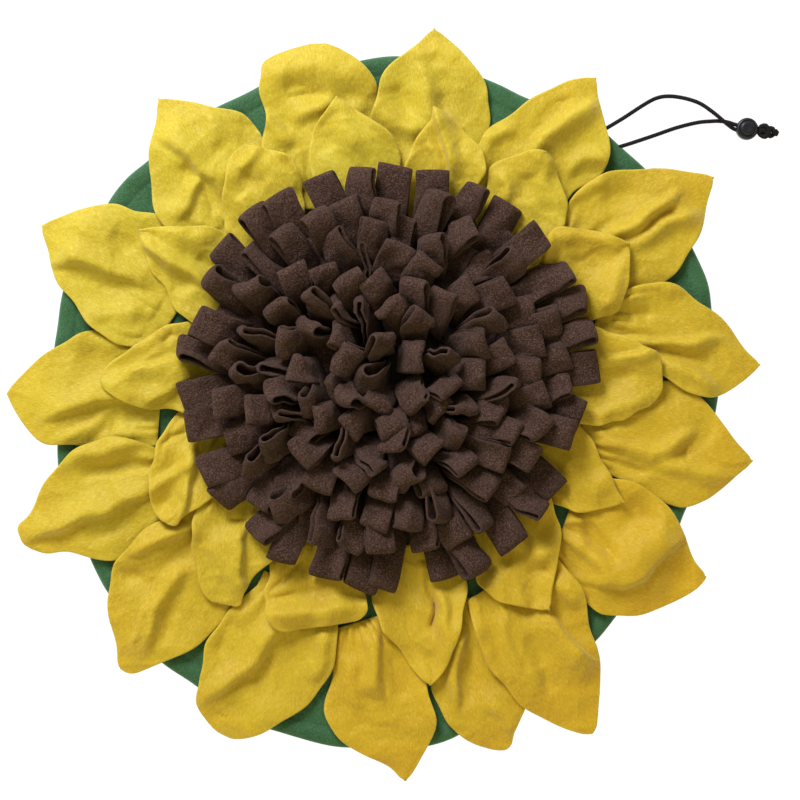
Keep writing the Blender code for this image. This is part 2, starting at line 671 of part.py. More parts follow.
def make_knot(look):
    """End knot, with the smaller second knot and one short end behind it."""
    points, faces = lump((KNOT_CENTRE[0], KNOT_CENTRE[1], 4.7), (4.2, 4.2, 4.2), 0.4)
    knot = put_mesh("cord_knot", points, faces, look)
    for number, (centre, sizes) in enumerate((
            ((293.2, 206.9, 3.9), (3.3, 3.0, 3.2)),
            ((KNOT_END[0], KNOT_END[1], 2.9), (4.0, 1.9, 1.9)))):
        points, faces = lump(centre, sizes, 1.7 + number, 10, 6)
        more = put_mesh("knot_helper_" + str(number + 1), points, faces, look)
        more.hide_render = True
        more.display_type = "WIRE"
        fuse = knot.modifiers.new("fuse_" + str(number + 1), "BOOLEAN")
        fuse.operation = "UNION"
        fuse.solver = "EXACT"
        fuse.object = more
    return knot


def build():
    """Make every piece of the mat."""
    for item in list(bpy.data.objects):
        bpy.data.objects.remove(item, do_unlink=True)
    green = material("green_fleece", (0.045, 0.17, 0.07), 0.95)
    yellow = material("yellow_fleece", (0.72, 0.50, 0.06), 0.95)
    brown = material("brown_fleece", (0.045, 0.028, 0.027), 0.95)
    black_cord = material("black_cord", (0.02, 0.02, 0.02), 0.7)
    black_plastic = material("black_plastic", (0.02, 0.02, 0.022), 0.4)
    make_base(green)
    heights = base_heights()
    upper_strand = smooth_path(UPPER_STRAND, 7.0)
    lower_strand = smooth_path(LOWER_STRAND, 7.0)
    note_cord(upper_strand, heights)
    note_cord(lower_strand, heights)
    for row in PETALS:
        plan = petal_plan(row)
        low = lay(plan, rest_height(plan, row), widened(heights))
        note_height(plan, low + CLOTH, heights)
        sheet_solid(row[0], plan, low, yellow)
    make_pile(brown, widened(heights))
    cord("cord_upper", upper_strand, black_cord)
    cord("cord_lower", lower_strand, black_cord)
    make_lock(black_plastic)
    make_knot(black_cord)


build()
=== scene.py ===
# %% [markdown]
# # A sunflower snuffle mat
# A snuffle mat is a round fleece mat in which dry food is hidden for a dog to find. This one is
# a sunflower: yellow fleece petals lie in two rings round a thick pile of brown fleece loops,
# all sewn on a green round with a drawstring in its rim.
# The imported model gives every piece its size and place. This script gives the pieces their cloth.

# %% Load the frame
import math
import bpy
import numpy as np
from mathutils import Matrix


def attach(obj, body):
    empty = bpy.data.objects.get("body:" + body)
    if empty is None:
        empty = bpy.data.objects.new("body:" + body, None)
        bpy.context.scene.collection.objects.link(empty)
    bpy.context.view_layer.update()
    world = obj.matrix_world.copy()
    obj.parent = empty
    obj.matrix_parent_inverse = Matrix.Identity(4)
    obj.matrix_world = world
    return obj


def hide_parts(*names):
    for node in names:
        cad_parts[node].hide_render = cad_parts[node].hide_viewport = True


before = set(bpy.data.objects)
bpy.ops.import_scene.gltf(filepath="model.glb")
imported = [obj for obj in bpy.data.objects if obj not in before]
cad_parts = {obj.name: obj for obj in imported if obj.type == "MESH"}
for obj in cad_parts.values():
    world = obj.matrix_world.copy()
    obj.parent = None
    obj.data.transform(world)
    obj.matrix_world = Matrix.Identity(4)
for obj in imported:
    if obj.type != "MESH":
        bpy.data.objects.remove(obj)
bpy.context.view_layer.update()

MM = 0.001
print("nodes in the frame:", len(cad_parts))

# %% [markdown]
# ## The camera
# The photo looks straight down on the mat, with hardly any perspective, so the camera stands
# high above it with a long lens. The picture's width covers 616 mm at the height of the petals.

# %% Camera
PICTURE_WIDTH = 616 * MM
PETAL_LEVEL = 8 * MM
CAMERA_PLACE = (7.7 * MM, 0.0, 1.9)
SENSOR_WIDTH = 36.0

lens = bpy.data.cameras.new("photo_camera")
lens.sensor_width = SENSOR_WIDTH
lens.lens = SENSOR_WIDTH * (CAMERA_PLACE[2] - PETAL_LEVEL) / PICTURE_WIDTH
camera = bpy.data.objects.new("photo_camera", lens)
camera.location = CAMERA_PLACE
bpy.context.scene.collection.objects.link(camera)
bpy.context.scene.camera = camera
print("lens %.0f mm" % lens.lens)

# %% [markdown]
# ## Light
# The light in the photo is a large soft box beyond the top left of the mat. Its light is a
# little cool and falls off towards the bottom petals. A weak warm fill from the other side keeps
# the hollows readable, and the sky gives the rest. The plain sRGB view keeps the yellow as
# strong as it is in the photo.

# %% Lights and sky
SKY_COLOUR = (1.0, 0.97, 0.86, 1.0)
SKY_STRENGTH = 0.38


def soft_box(name, place, aim, size, power, colour):
    """A square area light at a place, turned to face another place."""
    data = bpy.data.lights.new(name, "AREA")
    data.size = size
    data.energy = power
    data.color = colour
    lamp = bpy.data.objects.new(name, data)
    lamp.location = place
    way = np.array(aim) - np.array(place)
    flat = math.hypot(way[0], way[1])
    lamp.rotation_euler = (math.atan2(flat, -way[2]), 0.0, math.atan2(way[1], way[0]) - math.pi / 2)
    bpy.context.scene.collection.objects.link(lamp)


soft_box("key", (-0.60, 1.20, 1.10), (0.0, 0.0, 0.0), 0.70, 32.0, (0.97, 1.0, 1.25))
soft_box("fill", (-0.1, -1.1, 1.0), (0.0, -0.1, 0.0), 1.4, 5.5, (1.0, 0.88, 0.40))

sky = bpy.data.worlds.new("sky")
sky.use_nodes = True
backdrop = sky.node_tree.nodes["Background"].inputs
backdrop["Color"].default_value = SKY_COLOUR
backdrop["Strength"].default_value = SKY_STRENGTH
bpy.context.scene.world = sky
bpy.context.scene.view_settings.view_transform = "Standard"

# %% [markdown]
# ## Tools for surfaces
# Every piece here is a surface over two parameters, worked out as a numpy array of points with
# rows and columns. These helpers turn such arrays into meshes. The points are in millimetres
# and become metres as they go into the mesh, and the object itself stays at the origin.

# %% From an array of points to a mesh
def mesh_piece(name, points, faces, look, uv=None, marks=None):
    """A smooth mesh from points in millimetres and arrays of the corner numbers of its faces.

    uv holds one pair for each point, in metres of cloth, and marks named values for each point.
    """
    mesh = bpy.data.meshes.new(name)
    mesh.from_pydata((points * MM).tolist(), [], [face for group in faces for face in group.tolist()])
    mesh.polygons.foreach_set("use_smooth", np.ones(len(mesh.polygons), bool))
    if uv is not None:
        corner = np.empty(len(mesh.loops), np.int32)
        mesh.loops.foreach_get("vertex_index", corner)
        mesh.uv_layers.new(name="cloth").data.foreach_set("uv", uv[corner].astype(np.float32).ravel())
    for title, values in (marks or {}).items():
        layer = mesh.attributes.new(title, "FLOAT", "POINT")
        layer.data.foreach_set("value", values.astype(np.float32).ravel())
    mesh.materials.append(look)
    mesh.update()
    piece = bpy.data.objects.new(name, mesh)
    bpy.context.scene.collection.objects.link(piece)
    return piece


def quads(index, wrap_columns=False):
    """Corner numbers of the quads of a grid of point numbers, open or joined round."""
    if wrap_columns:
        index = np.concatenate([index, index[:, :1]], axis=1)
    return np.stack([index[:-1, :-1], index[:-1, 1:], index[1:, 1:], index[1:, :-1]], axis=-1).reshape(-1, 4)


def fan(ring, middle, faces_up):
    """Triangles that close a ring of point numbers round a middle point."""
    after = np.roll(ring, -1)
    return np.stack([*((ring, after) if faces_up else (after, ring)), np.full(len(ring), middle)], axis=-1)


def end_quads(ring):
    """Quads that close an even ring of point numbers, from one side of it to the other."""
    count = len(ring)
    first = np.arange(count // 2 - 1)
    return ring[np.stack([first, first + 1, count - 2 - first, count - 1 - first], axis=-1)]


def normals_of(grid):
    """Unit normals of a grid: the cross product of the steps along its columns and rows."""
    along_row = np.gradient(grid, axis=1)
    along_column = np.gradient(grid, axis=0)
    normal = np.cross(along_row, along_column)
    return normal / np.maximum(np.linalg.norm(normal, axis=-1, keepdims=True), 1e-9)


def closed_sheet(grid, half):
    """Points and quads of a cloth made from its middle surface.

    The upper face is the middle plus half the thickness along the normal, the lower face is
    the middle minus it, and both share their border points, where the thickness is nothing.
    """
    rows, columns = half.shape
    normal = normals_of(grid)
    normal *= np.sign(normal[rows // 2, columns // 2, 2])
    upper = grid + normal * half[..., None]
    lower = grid - normal * half[..., None]
    top = np.arange(rows * columns).reshape(rows, columns)
    under = top.copy()
    under[1:-1, 1:-1] = rows * columns + np.arange((rows - 2) * (columns - 2)).reshape(rows - 2, columns - 2)
    points = np.concatenate([upper.reshape(-1, 3), lower[1:-1, 1:-1].reshape(-1, 3)])
    return points, [quads(top)[:, ::-1], quads(under)]


def both_faces(values):
    """Values of a grid for the upper face's points and then for the lower face's inner points."""
    tail = values.shape[2:]
    return np.concatenate([values.reshape((-1,) + tail), values[1:-1, 1:-1].reshape((-1,) + tail)])


# %% Small curves
def smooth_step(value):
    """Rises from 0 to 1 as the value does, level at both ends."""
    value = np.clip(value, 0.0, 1.0)
    return value * value * (3.0 - 2.0 * value)


def ring_value(table, angle):
    """Value of a table given at even angles, read smoothly in between."""
    values = np.array(table, float)
    place = (np.asarray(angle) / (2 * math.pi) * len(values)) % len(values)
    low = np.floor(place).astype(int) % len(values)
    part = smooth_step(place - np.floor(place))
    return values[low] * (1 - part) + values[(low + 1) % len(values)] * part


def waves(place, seed, size, count=9):
    """Soft uneven relief from -1 to 1: a sum of sine waves of about one size, each its own way."""
    chance = np.random.default_rng(seed)
    way = chance.uniform(0, 2 * math.pi, count)
    pitch = 2 * math.pi / (size * chance.uniform(0.7, 1.5, count))
    start = chance.uniform(0, 2 * math.pi, count)
    run = place[..., 0, None] * np.cos(way) + place[..., 1, None] * np.sin(way)
    return np.sin(run * pitch + start).sum(axis=-1) / math.sqrt(count) * 0.7


# %% [markdown]
# ## Fleece
# Fleece is a knit whose face is brushed to a short nap. From a step away it looks matt and
# mottled, with fine lines where the nap lies over, and its cut edges and high folds catch the
# light. One node group makes that mottle for all three colours of fleece. It puts out a colour
# and a height, and each material keeps its own Principled shader with a soft sheen.
# Two values that the meshes carry steer the colour from place to place. The rim value paints a
# highlight along cut and folded edges and along the green's stitch line. The tone value paints
# light and shade: the yellow is paler where the light falls at the top left and warmer in the
# shade at the bottom right, with a little random tone from petal to petal, and the green is
# darker in the shade under the pile. Some light also soaks into the yellow cloth.

# %% Helpers for nodes
def new_look(name):
    """A new material and its node tree."""
    look = bpy.data.materials.new(name)
    look.use_nodes = True
    return look, look.node_tree


def fill_inputs(tree, node, inputs):
    """Set a node's inputs: a socket is linked, any other value becomes the input's own."""
    for title, value in inputs.items():
        if isinstance(value, bpy.types.NodeSocket):
            tree.links.new(value, node.inputs[title])
        else:
            node.inputs[title].default_value = value


def add_node(tree, kind, inputs, **settings):
    """A new node with its settings and its inputs."""
    node = tree.nodes.new(kind)
    for title, value in settings.items():
        setattr(node, title, value)
    fill_inputs(tree, node, inputs)
    return node


def noise(tree, vector, scale, detail, roughness):
    """A noise texture that reads the given coordinates."""
    inputs = {"Vector": vector, "Scale": scale, "Detail": detail, "Roughness": roughness}
    return add_node(tree, "ShaderNodeTexNoise", inputs).outputs["Fac"]


def share_between(tree, value, low, high):
    """0 to 1 as a value goes from low to high, held at both ends."""
    inputs = {"Value": value, "From Min": low, "From Max": high}
    return add_node(tree, "ShaderNodeMapRange", inputs).outputs["Result"]


def mix_colours(tree, factor, one, other, blend="MIX"):
    """Two colours mixed by a value. Each is a socket or three numbers."""
    one, other = [value if isinstance(value, bpy.types.NodeSocket) else (*value, 1.0) for value in (one, other)]
    # this node has several sockets of one name, so they are taken by number
    inputs = {0: factor, 6: one, 7: other}
    return add_node(tree, "ShaderNodeMix", inputs, data_type="RGBA", blend_type=blend).outputs[2]


def maths(tree, kind, one, other):
    """One step of arithmetic on two values, each a socket or a number."""
    return add_node(tree, "ShaderNodeMath", {0: one, 1: other}, operation=kind).outputs[0]


def mark(tree, title):
    """A value that the mesh carries at each of its points."""
    return add_node(tree, "ShaderNodeAttribute", {}, attribute_name=title).outputs["Fac"]


def relief(tree, height, depth):
    """The normal of a surface with small heights on it, as deep as the given number of metres."""
    return add_node(tree, "ShaderNodeBump", {"Height": height, "Distance": depth}).outputs["Normal"]


# %% The fleece node group
# cells of noise a metre: tufts of the nap, pills and broad patches
TUFTS, PILLS, PATCHES = 620.0, 210.0, 26.0


def make_fleece_group():
    """Mottled nap: three sizes of noise for the colour, two of them for the height."""
    group = bpy.data.node_groups.new("fleece_nap", "ShaderNodeTree")
    for way, sockets in (
            ("INPUT", {"Vector": "Vector", "Along": "Vector", "Streaks": "Float", "Sparse": "Float",
                       "Deep": "Color", "Middle": "Color", "Bright": "Color"}),
            ("OUTPUT", {"Color": "Color", "Height": "Float"})):
        for title, kind in sockets.items():
            group.interface.new_socket(name=title, in_out=way, socket_type="NodeSocket" + kind)
    given = group.nodes.new("NodeGroupInput").outputs
    fine = noise(group, given["Vector"], TUFTS, 3.0, 0.6)
    pills = noise(group, given["Vector"], PILLS, 2.0, 0.5)
    broad = noise(group, given["Vector"], PATCHES, 3.0, 0.55)
    lines = noise(group, given["Along"], 1.0, 2.0, 0.5)
    toned = mix_colours(group, share_between(group, broad, 0.32, 0.68), given["Deep"], given["Middle"])
    brushed = maths(group, "MULTIPLY", maths(group, "SUBTRACT", lines, fine), given["Streaks"])
    fuzz = maths(group, "ADD", fine, brushed)
    lit = mix_colours(group, share_between(group, fuzz, given["Sparse"], 0.72), toned, given["Bright"])
    height = maths(group, "ADD", maths(group, "MULTIPLY", fuzz, 0.5), maths(group, "MULTIPLY", pills, 0.6))
    add_node(group, "NodeGroupOutput", {"Color": lit, "Height": height})
    return group


fleece_nap = make_fleece_group()
print("node group:", fleece_nap.name)


# %% A fleece material
# cells of noise a metre for the nap's lines, which are drawn out along the cloth
NAP_LINES = (900.0, 240.0, 400.0)
# how far red, green and blue light soak into cloth, as shares of a depth in metres
SOAK_SHARES = (1.0, 0.85, 0.3)
SOAK_DEPTH = 0.006


def fleece(name, deep, middle, bright, bump, grain, streaks, highlight_colour, sheen, sheen_colour, shine=0.2,
           shine_colour=(1.0, 1.0, 1.0), sparse=0.44, tones=None, glow=0.0, uses_cloth_map=True):
    """A fleece of three tones, whose nap lines follow the cloth's own map where it has one.

    bump is the depth of the nap in metres, grain how fine its mottle is, streaks how strong its
    lines are, sparse the noise above which bright specks start, tones the two colours between
    which the tone mark shifts it, as painted light and shade, and glow the share of the light
    that soaks in. The rim colour is a painted highlight along edges.
    """
    look, tree = new_look(name)
    where = tree.nodes.new("ShaderNodeTexCoord").outputs
    speckled = add_node(tree, "ShaderNodeMapping", {"Vector": where["Object"], "Scale": (grain, grain, grain)})
    drawn_out = add_node(tree, "ShaderNodeMapping", {
        "Vector": where["UV" if uses_cloth_map else "Object"], "Scale": NAP_LINES})
    nap = add_node(tree, "ShaderNodeGroup", {
        "Vector": speckled.outputs["Vector"], "Along": drawn_out.outputs["Vector"], "Streaks": streaks,
        "Sparse": sparse, "Deep": (*deep, 1.0), "Middle": (*middle, 1.0), "Bright": (*bright, 1.0),
    }, node_tree=fleece_nap)
    colour = mix_colours(tree, mark(tree, "rim"), nap.outputs["Color"], highlight_colour)
    if tones is not None:
        colour = mix_colours(tree, 1.0, colour, mix_colours(tree, mark(tree, "light_and_shade_tone"), *tones), "MULTIPLY")
    fill_inputs(tree, tree.nodes["Principled BSDF"], {
        "Base Color": colour, "Normal": relief(tree, nap.outputs["Height"], bump), "Roughness": 0.62,
        "Specular IOR Level": shine, "Specular Tint": (*shine_colour, 1.0),
        "Sheen Weight": sheen, "Sheen Roughness": 0.55, "Sheen Tint": (*sheen_colour, 1.0),
        "Subsurface Weight": glow, "Subsurface Radius": SOAK_SHARES, "Subsurface Scale": SOAK_DEPTH,
    })
    return look


# every rim colour is a painted highlight; the yellow's two tones paint paler lemon where the light falls at the
# top left and warmer gold in the shade at the bottom right
yellow_fleece = fleece(
    "yellow_nap", (0.54, 0.342, 0.0005), (0.60, 0.405, 0.001), (0.67, 0.505, 0.026), bump=0.0009, grain=1.3,
    streaks=0.6, highlight_colour=(0.68, 0.48, 0.03), sheen=0.25, sheen_colour=(1.0, 0.92, 0.75), shine=0.40,
    shine_colour=(1.0, 0.95, 0.8), tones=((0.95, 1.06, 2.2), (1.0, 0.93, 0.4)), glow=0.35)
# the green's second tone is painted shade, darker and browner under the pile
green_fleece = fleece(
    "green_nap", (0.022, 0.080, 0.022), (0.034, 0.112, 0.033), (0.060, 0.165, 0.060), bump=0.0009, grain=1.3,
    streaks=0.0, highlight_colour=(0.08, 0.20, 0.085), sheen=0.3, sheen_colour=(0.6, 1.0, 0.65),
    tones=((1.0, 1.0, 1.0), (0.5, 0.16, 0.3)), uses_cloth_map=False)
brown_fleece = fleece(
    "brown_nap", (0.034, 0.0170, 0.0090), (0.050, 0.0257, 0.0160), (0.165, 0.094, 0.066), bump=0.0022,
    grain=1.35, streaks=0.1, highlight_colour=(0.066, 0.038, 0.026), sheen=0.08, sheen_colour=(1.0, 0.72, 0.58),
    shine=0.06, sparse=0.46)
print("fleeces:", yellow_fleece.name, green_fleece.name, brown_fleece.name)

# %% [markdown]
# ## What lies under what
# The pieces are laid one on another, so each has to know the height of all that is below it. A
# height map of the whole mat, a grid of small cells, keeps the highest point of what has been
# laid. A new cloth reads it, lies over it, and is then entered in it.

# %% The height map
# size of a cell and half the map's side, in millimetres
CELL = 1.25
MAP_HALF = 320.0
MAP_SIZE = int(2 * MAP_HALF / CELL) + 1


def cell_of(place):
    """Row and column of the map's cell under each plan position."""
    cell = np.round((place + MAP_HALF) / CELL).astype(int)
    cell = np.clip(cell, 0, MAP_SIZE - 1)
    return cell[..., 0], cell[..., 1]


def widened(heights, steps=1):
    """The map in which every cell takes the highest value of its neighbours."""
    for turn in range(steps):
        grown = heights
        for axis in (0, 1):
            for way in (-1, 1):
                grown = np.maximum(grown, np.roll(heights, way, axis))
        heights = grown
    return heights


def finer(values, times=3):
    """A grid with rows and columns added in between by straight interpolation."""
    for axis in (0, 1):
        count = values.shape[axis]
        spot = np.linspace(0, count - 1, (count - 1) * times + 1)
        low = np.minimum(spot.astype(int), count - 2)
        part = spot - low
        shape = [1] * values.ndim
        shape[axis] = -1
        part = part.reshape(shape)
        values = np.take(values, low, axis) * (1 - part) + np.take(values, low + 1, axis) * part
    return values


def enter(heights, grid):
    """Enter a surface in the map: each cell keeps the highest point over it."""
    fine = finer(grid)
    np.maximum.at(heights, cell_of(fine[..., :2]), fine[..., 2])


# %% [markdown]
# ## The green round
# The mat's base is a round of green fleece. Its rim is turned in to make a casing for the
# drawstring, so the last centimetre or so is thicker, a stitch line runs along it, and the
# cord's pull puckers it. It is made as rings of a profile that goes from the middle of the
# upper face out over the rim and back to the middle of the underside.

# %% Base
BASE_CENTRE = np.array([0.0, -3.0])
BASE_REACH = (252, 262, 269, 260, 267, 265, 266, 267, 260, 260, 265, 268, 267, 254, 240, 243)
BASE_TOP = 3.0
ROUND_POINTS = 720
HEM_WIDTH = 14.0
HEM_TOP = 5.0
# where the painted highlight of the stitch line lies, in from the rim, and how wide it and the edge's are
STITCH_INSET = HEM_WIDTH - 3.0
LINE_WIDTH = 1.6
# height of the casing's puckers, how far in from the rim they reach, and room to lie over them
PUCKER = 1.3
PUCKER_REACH = 11.0
PUCKER_ROOM = 1.1
# how far past its rim the round still counts as lying under a petal
PAST_RIM = 1.5


def base_reach(angle):
    """Distance of the rim from the middle, with the small gathers of its casing."""
    return ring_value(BASE_REACH, angle) + 1.2 * np.sin(21 * angle) + 0.8 * np.sin(13 * angle + 1.0)


def base_profile():
    """Rings of the round: inset from the rim or None, share of its reach or None, and height.

    They go out over the top, round the rim and back below. The dip at the hem's inner edge is
    its stitched step.
    """
    rows = [(None, share, BASE_TOP) for share in (0.02, 0.2, 0.4, 0.6, 0.75, 0.86)]
    rows += [(inset, None, level) for inset, level in (
        (HEM_WIDTH + 5, BASE_TOP), (HEM_WIDTH + 2, BASE_TOP), (HEM_WIDTH + 0.6, BASE_TOP - 0.25),
        (HEM_WIDTH - 0.4, BASE_TOP), (HEM_WIDTH - 1.6, 3.6), (HEM_WIDTH - 4, 4.3), (HEM_WIDTH - 7, HEM_TOP),
        (4.5, 4.8), (2.2, 4.2), (0.9, 3.4), (0.1, 2.4), (0.3, 1.3), (1.0, 0.5), (2.2, 0.05), (4.0, 0.0),
        (12.0, 0.0))]
    rows += [(None, share, 0.0) for share in (0.86, 0.6, 0.3, 0.02)]
    return rows


def make_base():
    """The round base: ring by ring, puckered where its casing is gathered.

    The puckers are sine waves round the rim that bunch up and spread out, and they fade away
    from it as a bell curve does. The cloth under the pile is marked for painted shade, and the
    casing's edge and stitch line for a painted highlight.
    """
    angle = np.arange(ROUND_POINTS) / ROUND_POINTS * 2 * math.pi
    reach = base_reach(angle)
    bunches = 0.5 * np.sin(53 * angle + 2.0 * np.sin(5 * angle))
    bunches = bunches + 0.4 * np.sin(31 * angle + 1.5 * np.sin(3 * angle))
    rings, painted_highlight, shaded = [], [], []
    for inset, share, level in base_profile():
        on_face = inset is None
        far = reach * share if on_face else reach - inset
        x = BASE_CENTRE[0] + far * np.cos(angle)
        y = BASE_CENTRE[1] + far * np.sin(angle)
        z = np.full(ROUND_POINTS, level)
        if on_face and level >= BASE_TOP:
            z = z + 0.25 * waves(np.stack([x, y], -1), 5, 30.0)
        if not on_face and level > 0:
            z = z + math.exp(-(inset / PUCKER_REACH) ** 2) * bunches * PUCKER
        rings.append(np.stack([x, y, np.maximum(z, 0.0)], axis=-1))
        # painted highlight: the casing's rounded edge and its stitch line are lightened through the rim value
        light = 0.0
        if not on_face and level >= 1:
            at_stitch, at_edge = [math.exp(-((inset - line) / LINE_WIDTH) ** 2) for line in (STITCH_INSET, 0.0)]
            light = 0.2 * at_stitch + 0.5 * at_edge
        painted_highlight.append(np.full(ROUND_POINTS, light))
        # painted shade: the green under the pile is darkened where the loops shade it
        shaded.append(np.full(ROUND_POINTS, 1.0 if on_face and share < 0.5 else 0.0))
    rings = np.array(rings)
    index = np.arange(rings[..., 0].size).reshape(rings.shape[:2])
    middles = [(*BASE_CENTRE, BASE_TOP), (*BASE_CENTRE, 0.0)]
    faces = [quads(index, wrap_columns=True)[:, ::-1],
             fan(index[0], index.size, True), fan(index[-1], index.size + 1, False)]
    marks = {"rim": np.append(painted_highlight, [0.0, 0.0]), "light_and_shade_tone": np.append(shaded, [0.0, 0.0])}
    points = np.concatenate([rings.reshape(-1, 3), middles])
    return mesh_piece("green_round", points, faces, green_fleece, marks=marks)


green_round = make_base()
axis_cells = np.arange(MAP_SIZE) * CELL - MAP_HALF
from_middle = np.stack(np.meshgrid(axis_cells, axis_cells, indexing="ij"), axis=-1) - BASE_CENTRE
inset_map = base_reach(np.arctan2(from_middle[..., 1], from_middle[..., 0]))
inset_map = inset_map - np.linalg.norm(from_middle, axis=-1)
heights = np.where(inset_map > -PAST_RIM, BASE_TOP, 0.0)
heights = np.where((inset_map > -PAST_RIM) & (inset_map < HEM_WIDTH), HEM_TOP + PUCKER_ROOM, heights)
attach(green_round, "root")
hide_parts("base_round")

# %% [markdown]
# ## The drawstring's route
# The two ends of the drawstring come out of the casing at the top right, cross, go through
# the cord lock and end in a knot. The petals lie over their first stretch, so the route has
# to be in the height map before the petals are laid. Its points are those of the solid cord.

# %% Route of the two strands
CORD_RADIUS = 1.5
UPPER_STRAND = (
    (163.6, 207.8, 2.2), (179, 217, 1.9), (196, 228, 1.9), (206, 233.2, 1.9), (216, 234.6, 2.2),
    (228, 232.7, 3.6), (239, 228.7, 5.2), (248, 222.5, 6.2), (253.3, 218.2, 6.6),
    (260, 212.6, 6.0), (266.5, 208.6, 4.6), (275, 207.2, 4.5), (281.6, 207.0, 4.5), (283.3, 206.9, 4.5),
)
LOWER_STRAND = (
    (176.4, 195.3, 2.2), (187, 198.6, 1.9), (204, 204.3, 1.9), (221, 210.2, 1.9), (237, 214.2, 1.9),
    (248, 215.3, 1.9), (255, 215.4, 1.9), (261, 214.4, 2.8), (267, 212.3, 4.2),
    (275, 211.0, 4.5), (281.6, 210.9, 4.5), (283.3, 210.4, 4.5),
)


def smooth_path(knots, spacing):
    """Even points along a smooth line through the given places (a Catmull-Rom curve)."""
    knots = np.array(knots, float)
    ends = np.concatenate([[2 * knots[0] - knots[1]], knots, [2 * knots[-1] - knots[-2]]])
    t = np.linspace(0, 1, 24, endpoint=False)[:, None]
    parts = []
    for a, b, c, d in zip(ends[:-3], ends[1:-2], ends[2:-1], ends[3:]):
        parts.append(0.5 * (2 * b + (c - a) * t + (2 * a - 5 * b + 4 * c - d) * t ** 2
                            + (3 * b - a - 3 * c + d) * t ** 3))
    fine = np.concatenate(parts + [knots[-1:]])
    far = np.concatenate([[0], np.cumsum(np.linalg.norm(np.diff(fine, axis=0), axis=1))])
    even = np.linspace(0, far[-1], max(3, int(round(far[-1] / spacing)) + 1))
    return np.stack([np.interp(even, far, fine[:, axis]) for axis in range(3)], axis=1)


strand_paths = {"upper": smooth_path(UPPER_STRAND, 0.5), "lower": smooth_path(LOWER_STRAND, 0.5)}
for line in strand_paths.values():
    for side in np.linspace(-1.2, 1.2, 5) * CORD_RADIUS:
        for shift in ((side, 0.0), (0.0, side)):
            np.maximum.at(heights, cell_of(line[:, :2] + np.array(shift)), line[:, 2] + CORD_RADIUS)
print("strands:", {name: len(line) for name, line in strand_paths.items()})

# %% [markdown]
# ## Petals
# Each petal is one piece of yellow fleece, cut to a leaf shape, pleated at its root and sewn
# down there. A table gives each petal's middle line and its widths, as they lie in the photo,
# in the order in which they are laid. Soft folds, pleats and steps are listed one by one: a
# fold is a ridge along a line, steeper on one side where the cloth is turned over itself.

# %% Table of petals
SHARES = (0.0, 0.12, 0.25, 0.5, 0.75, 0.9, 1.0)
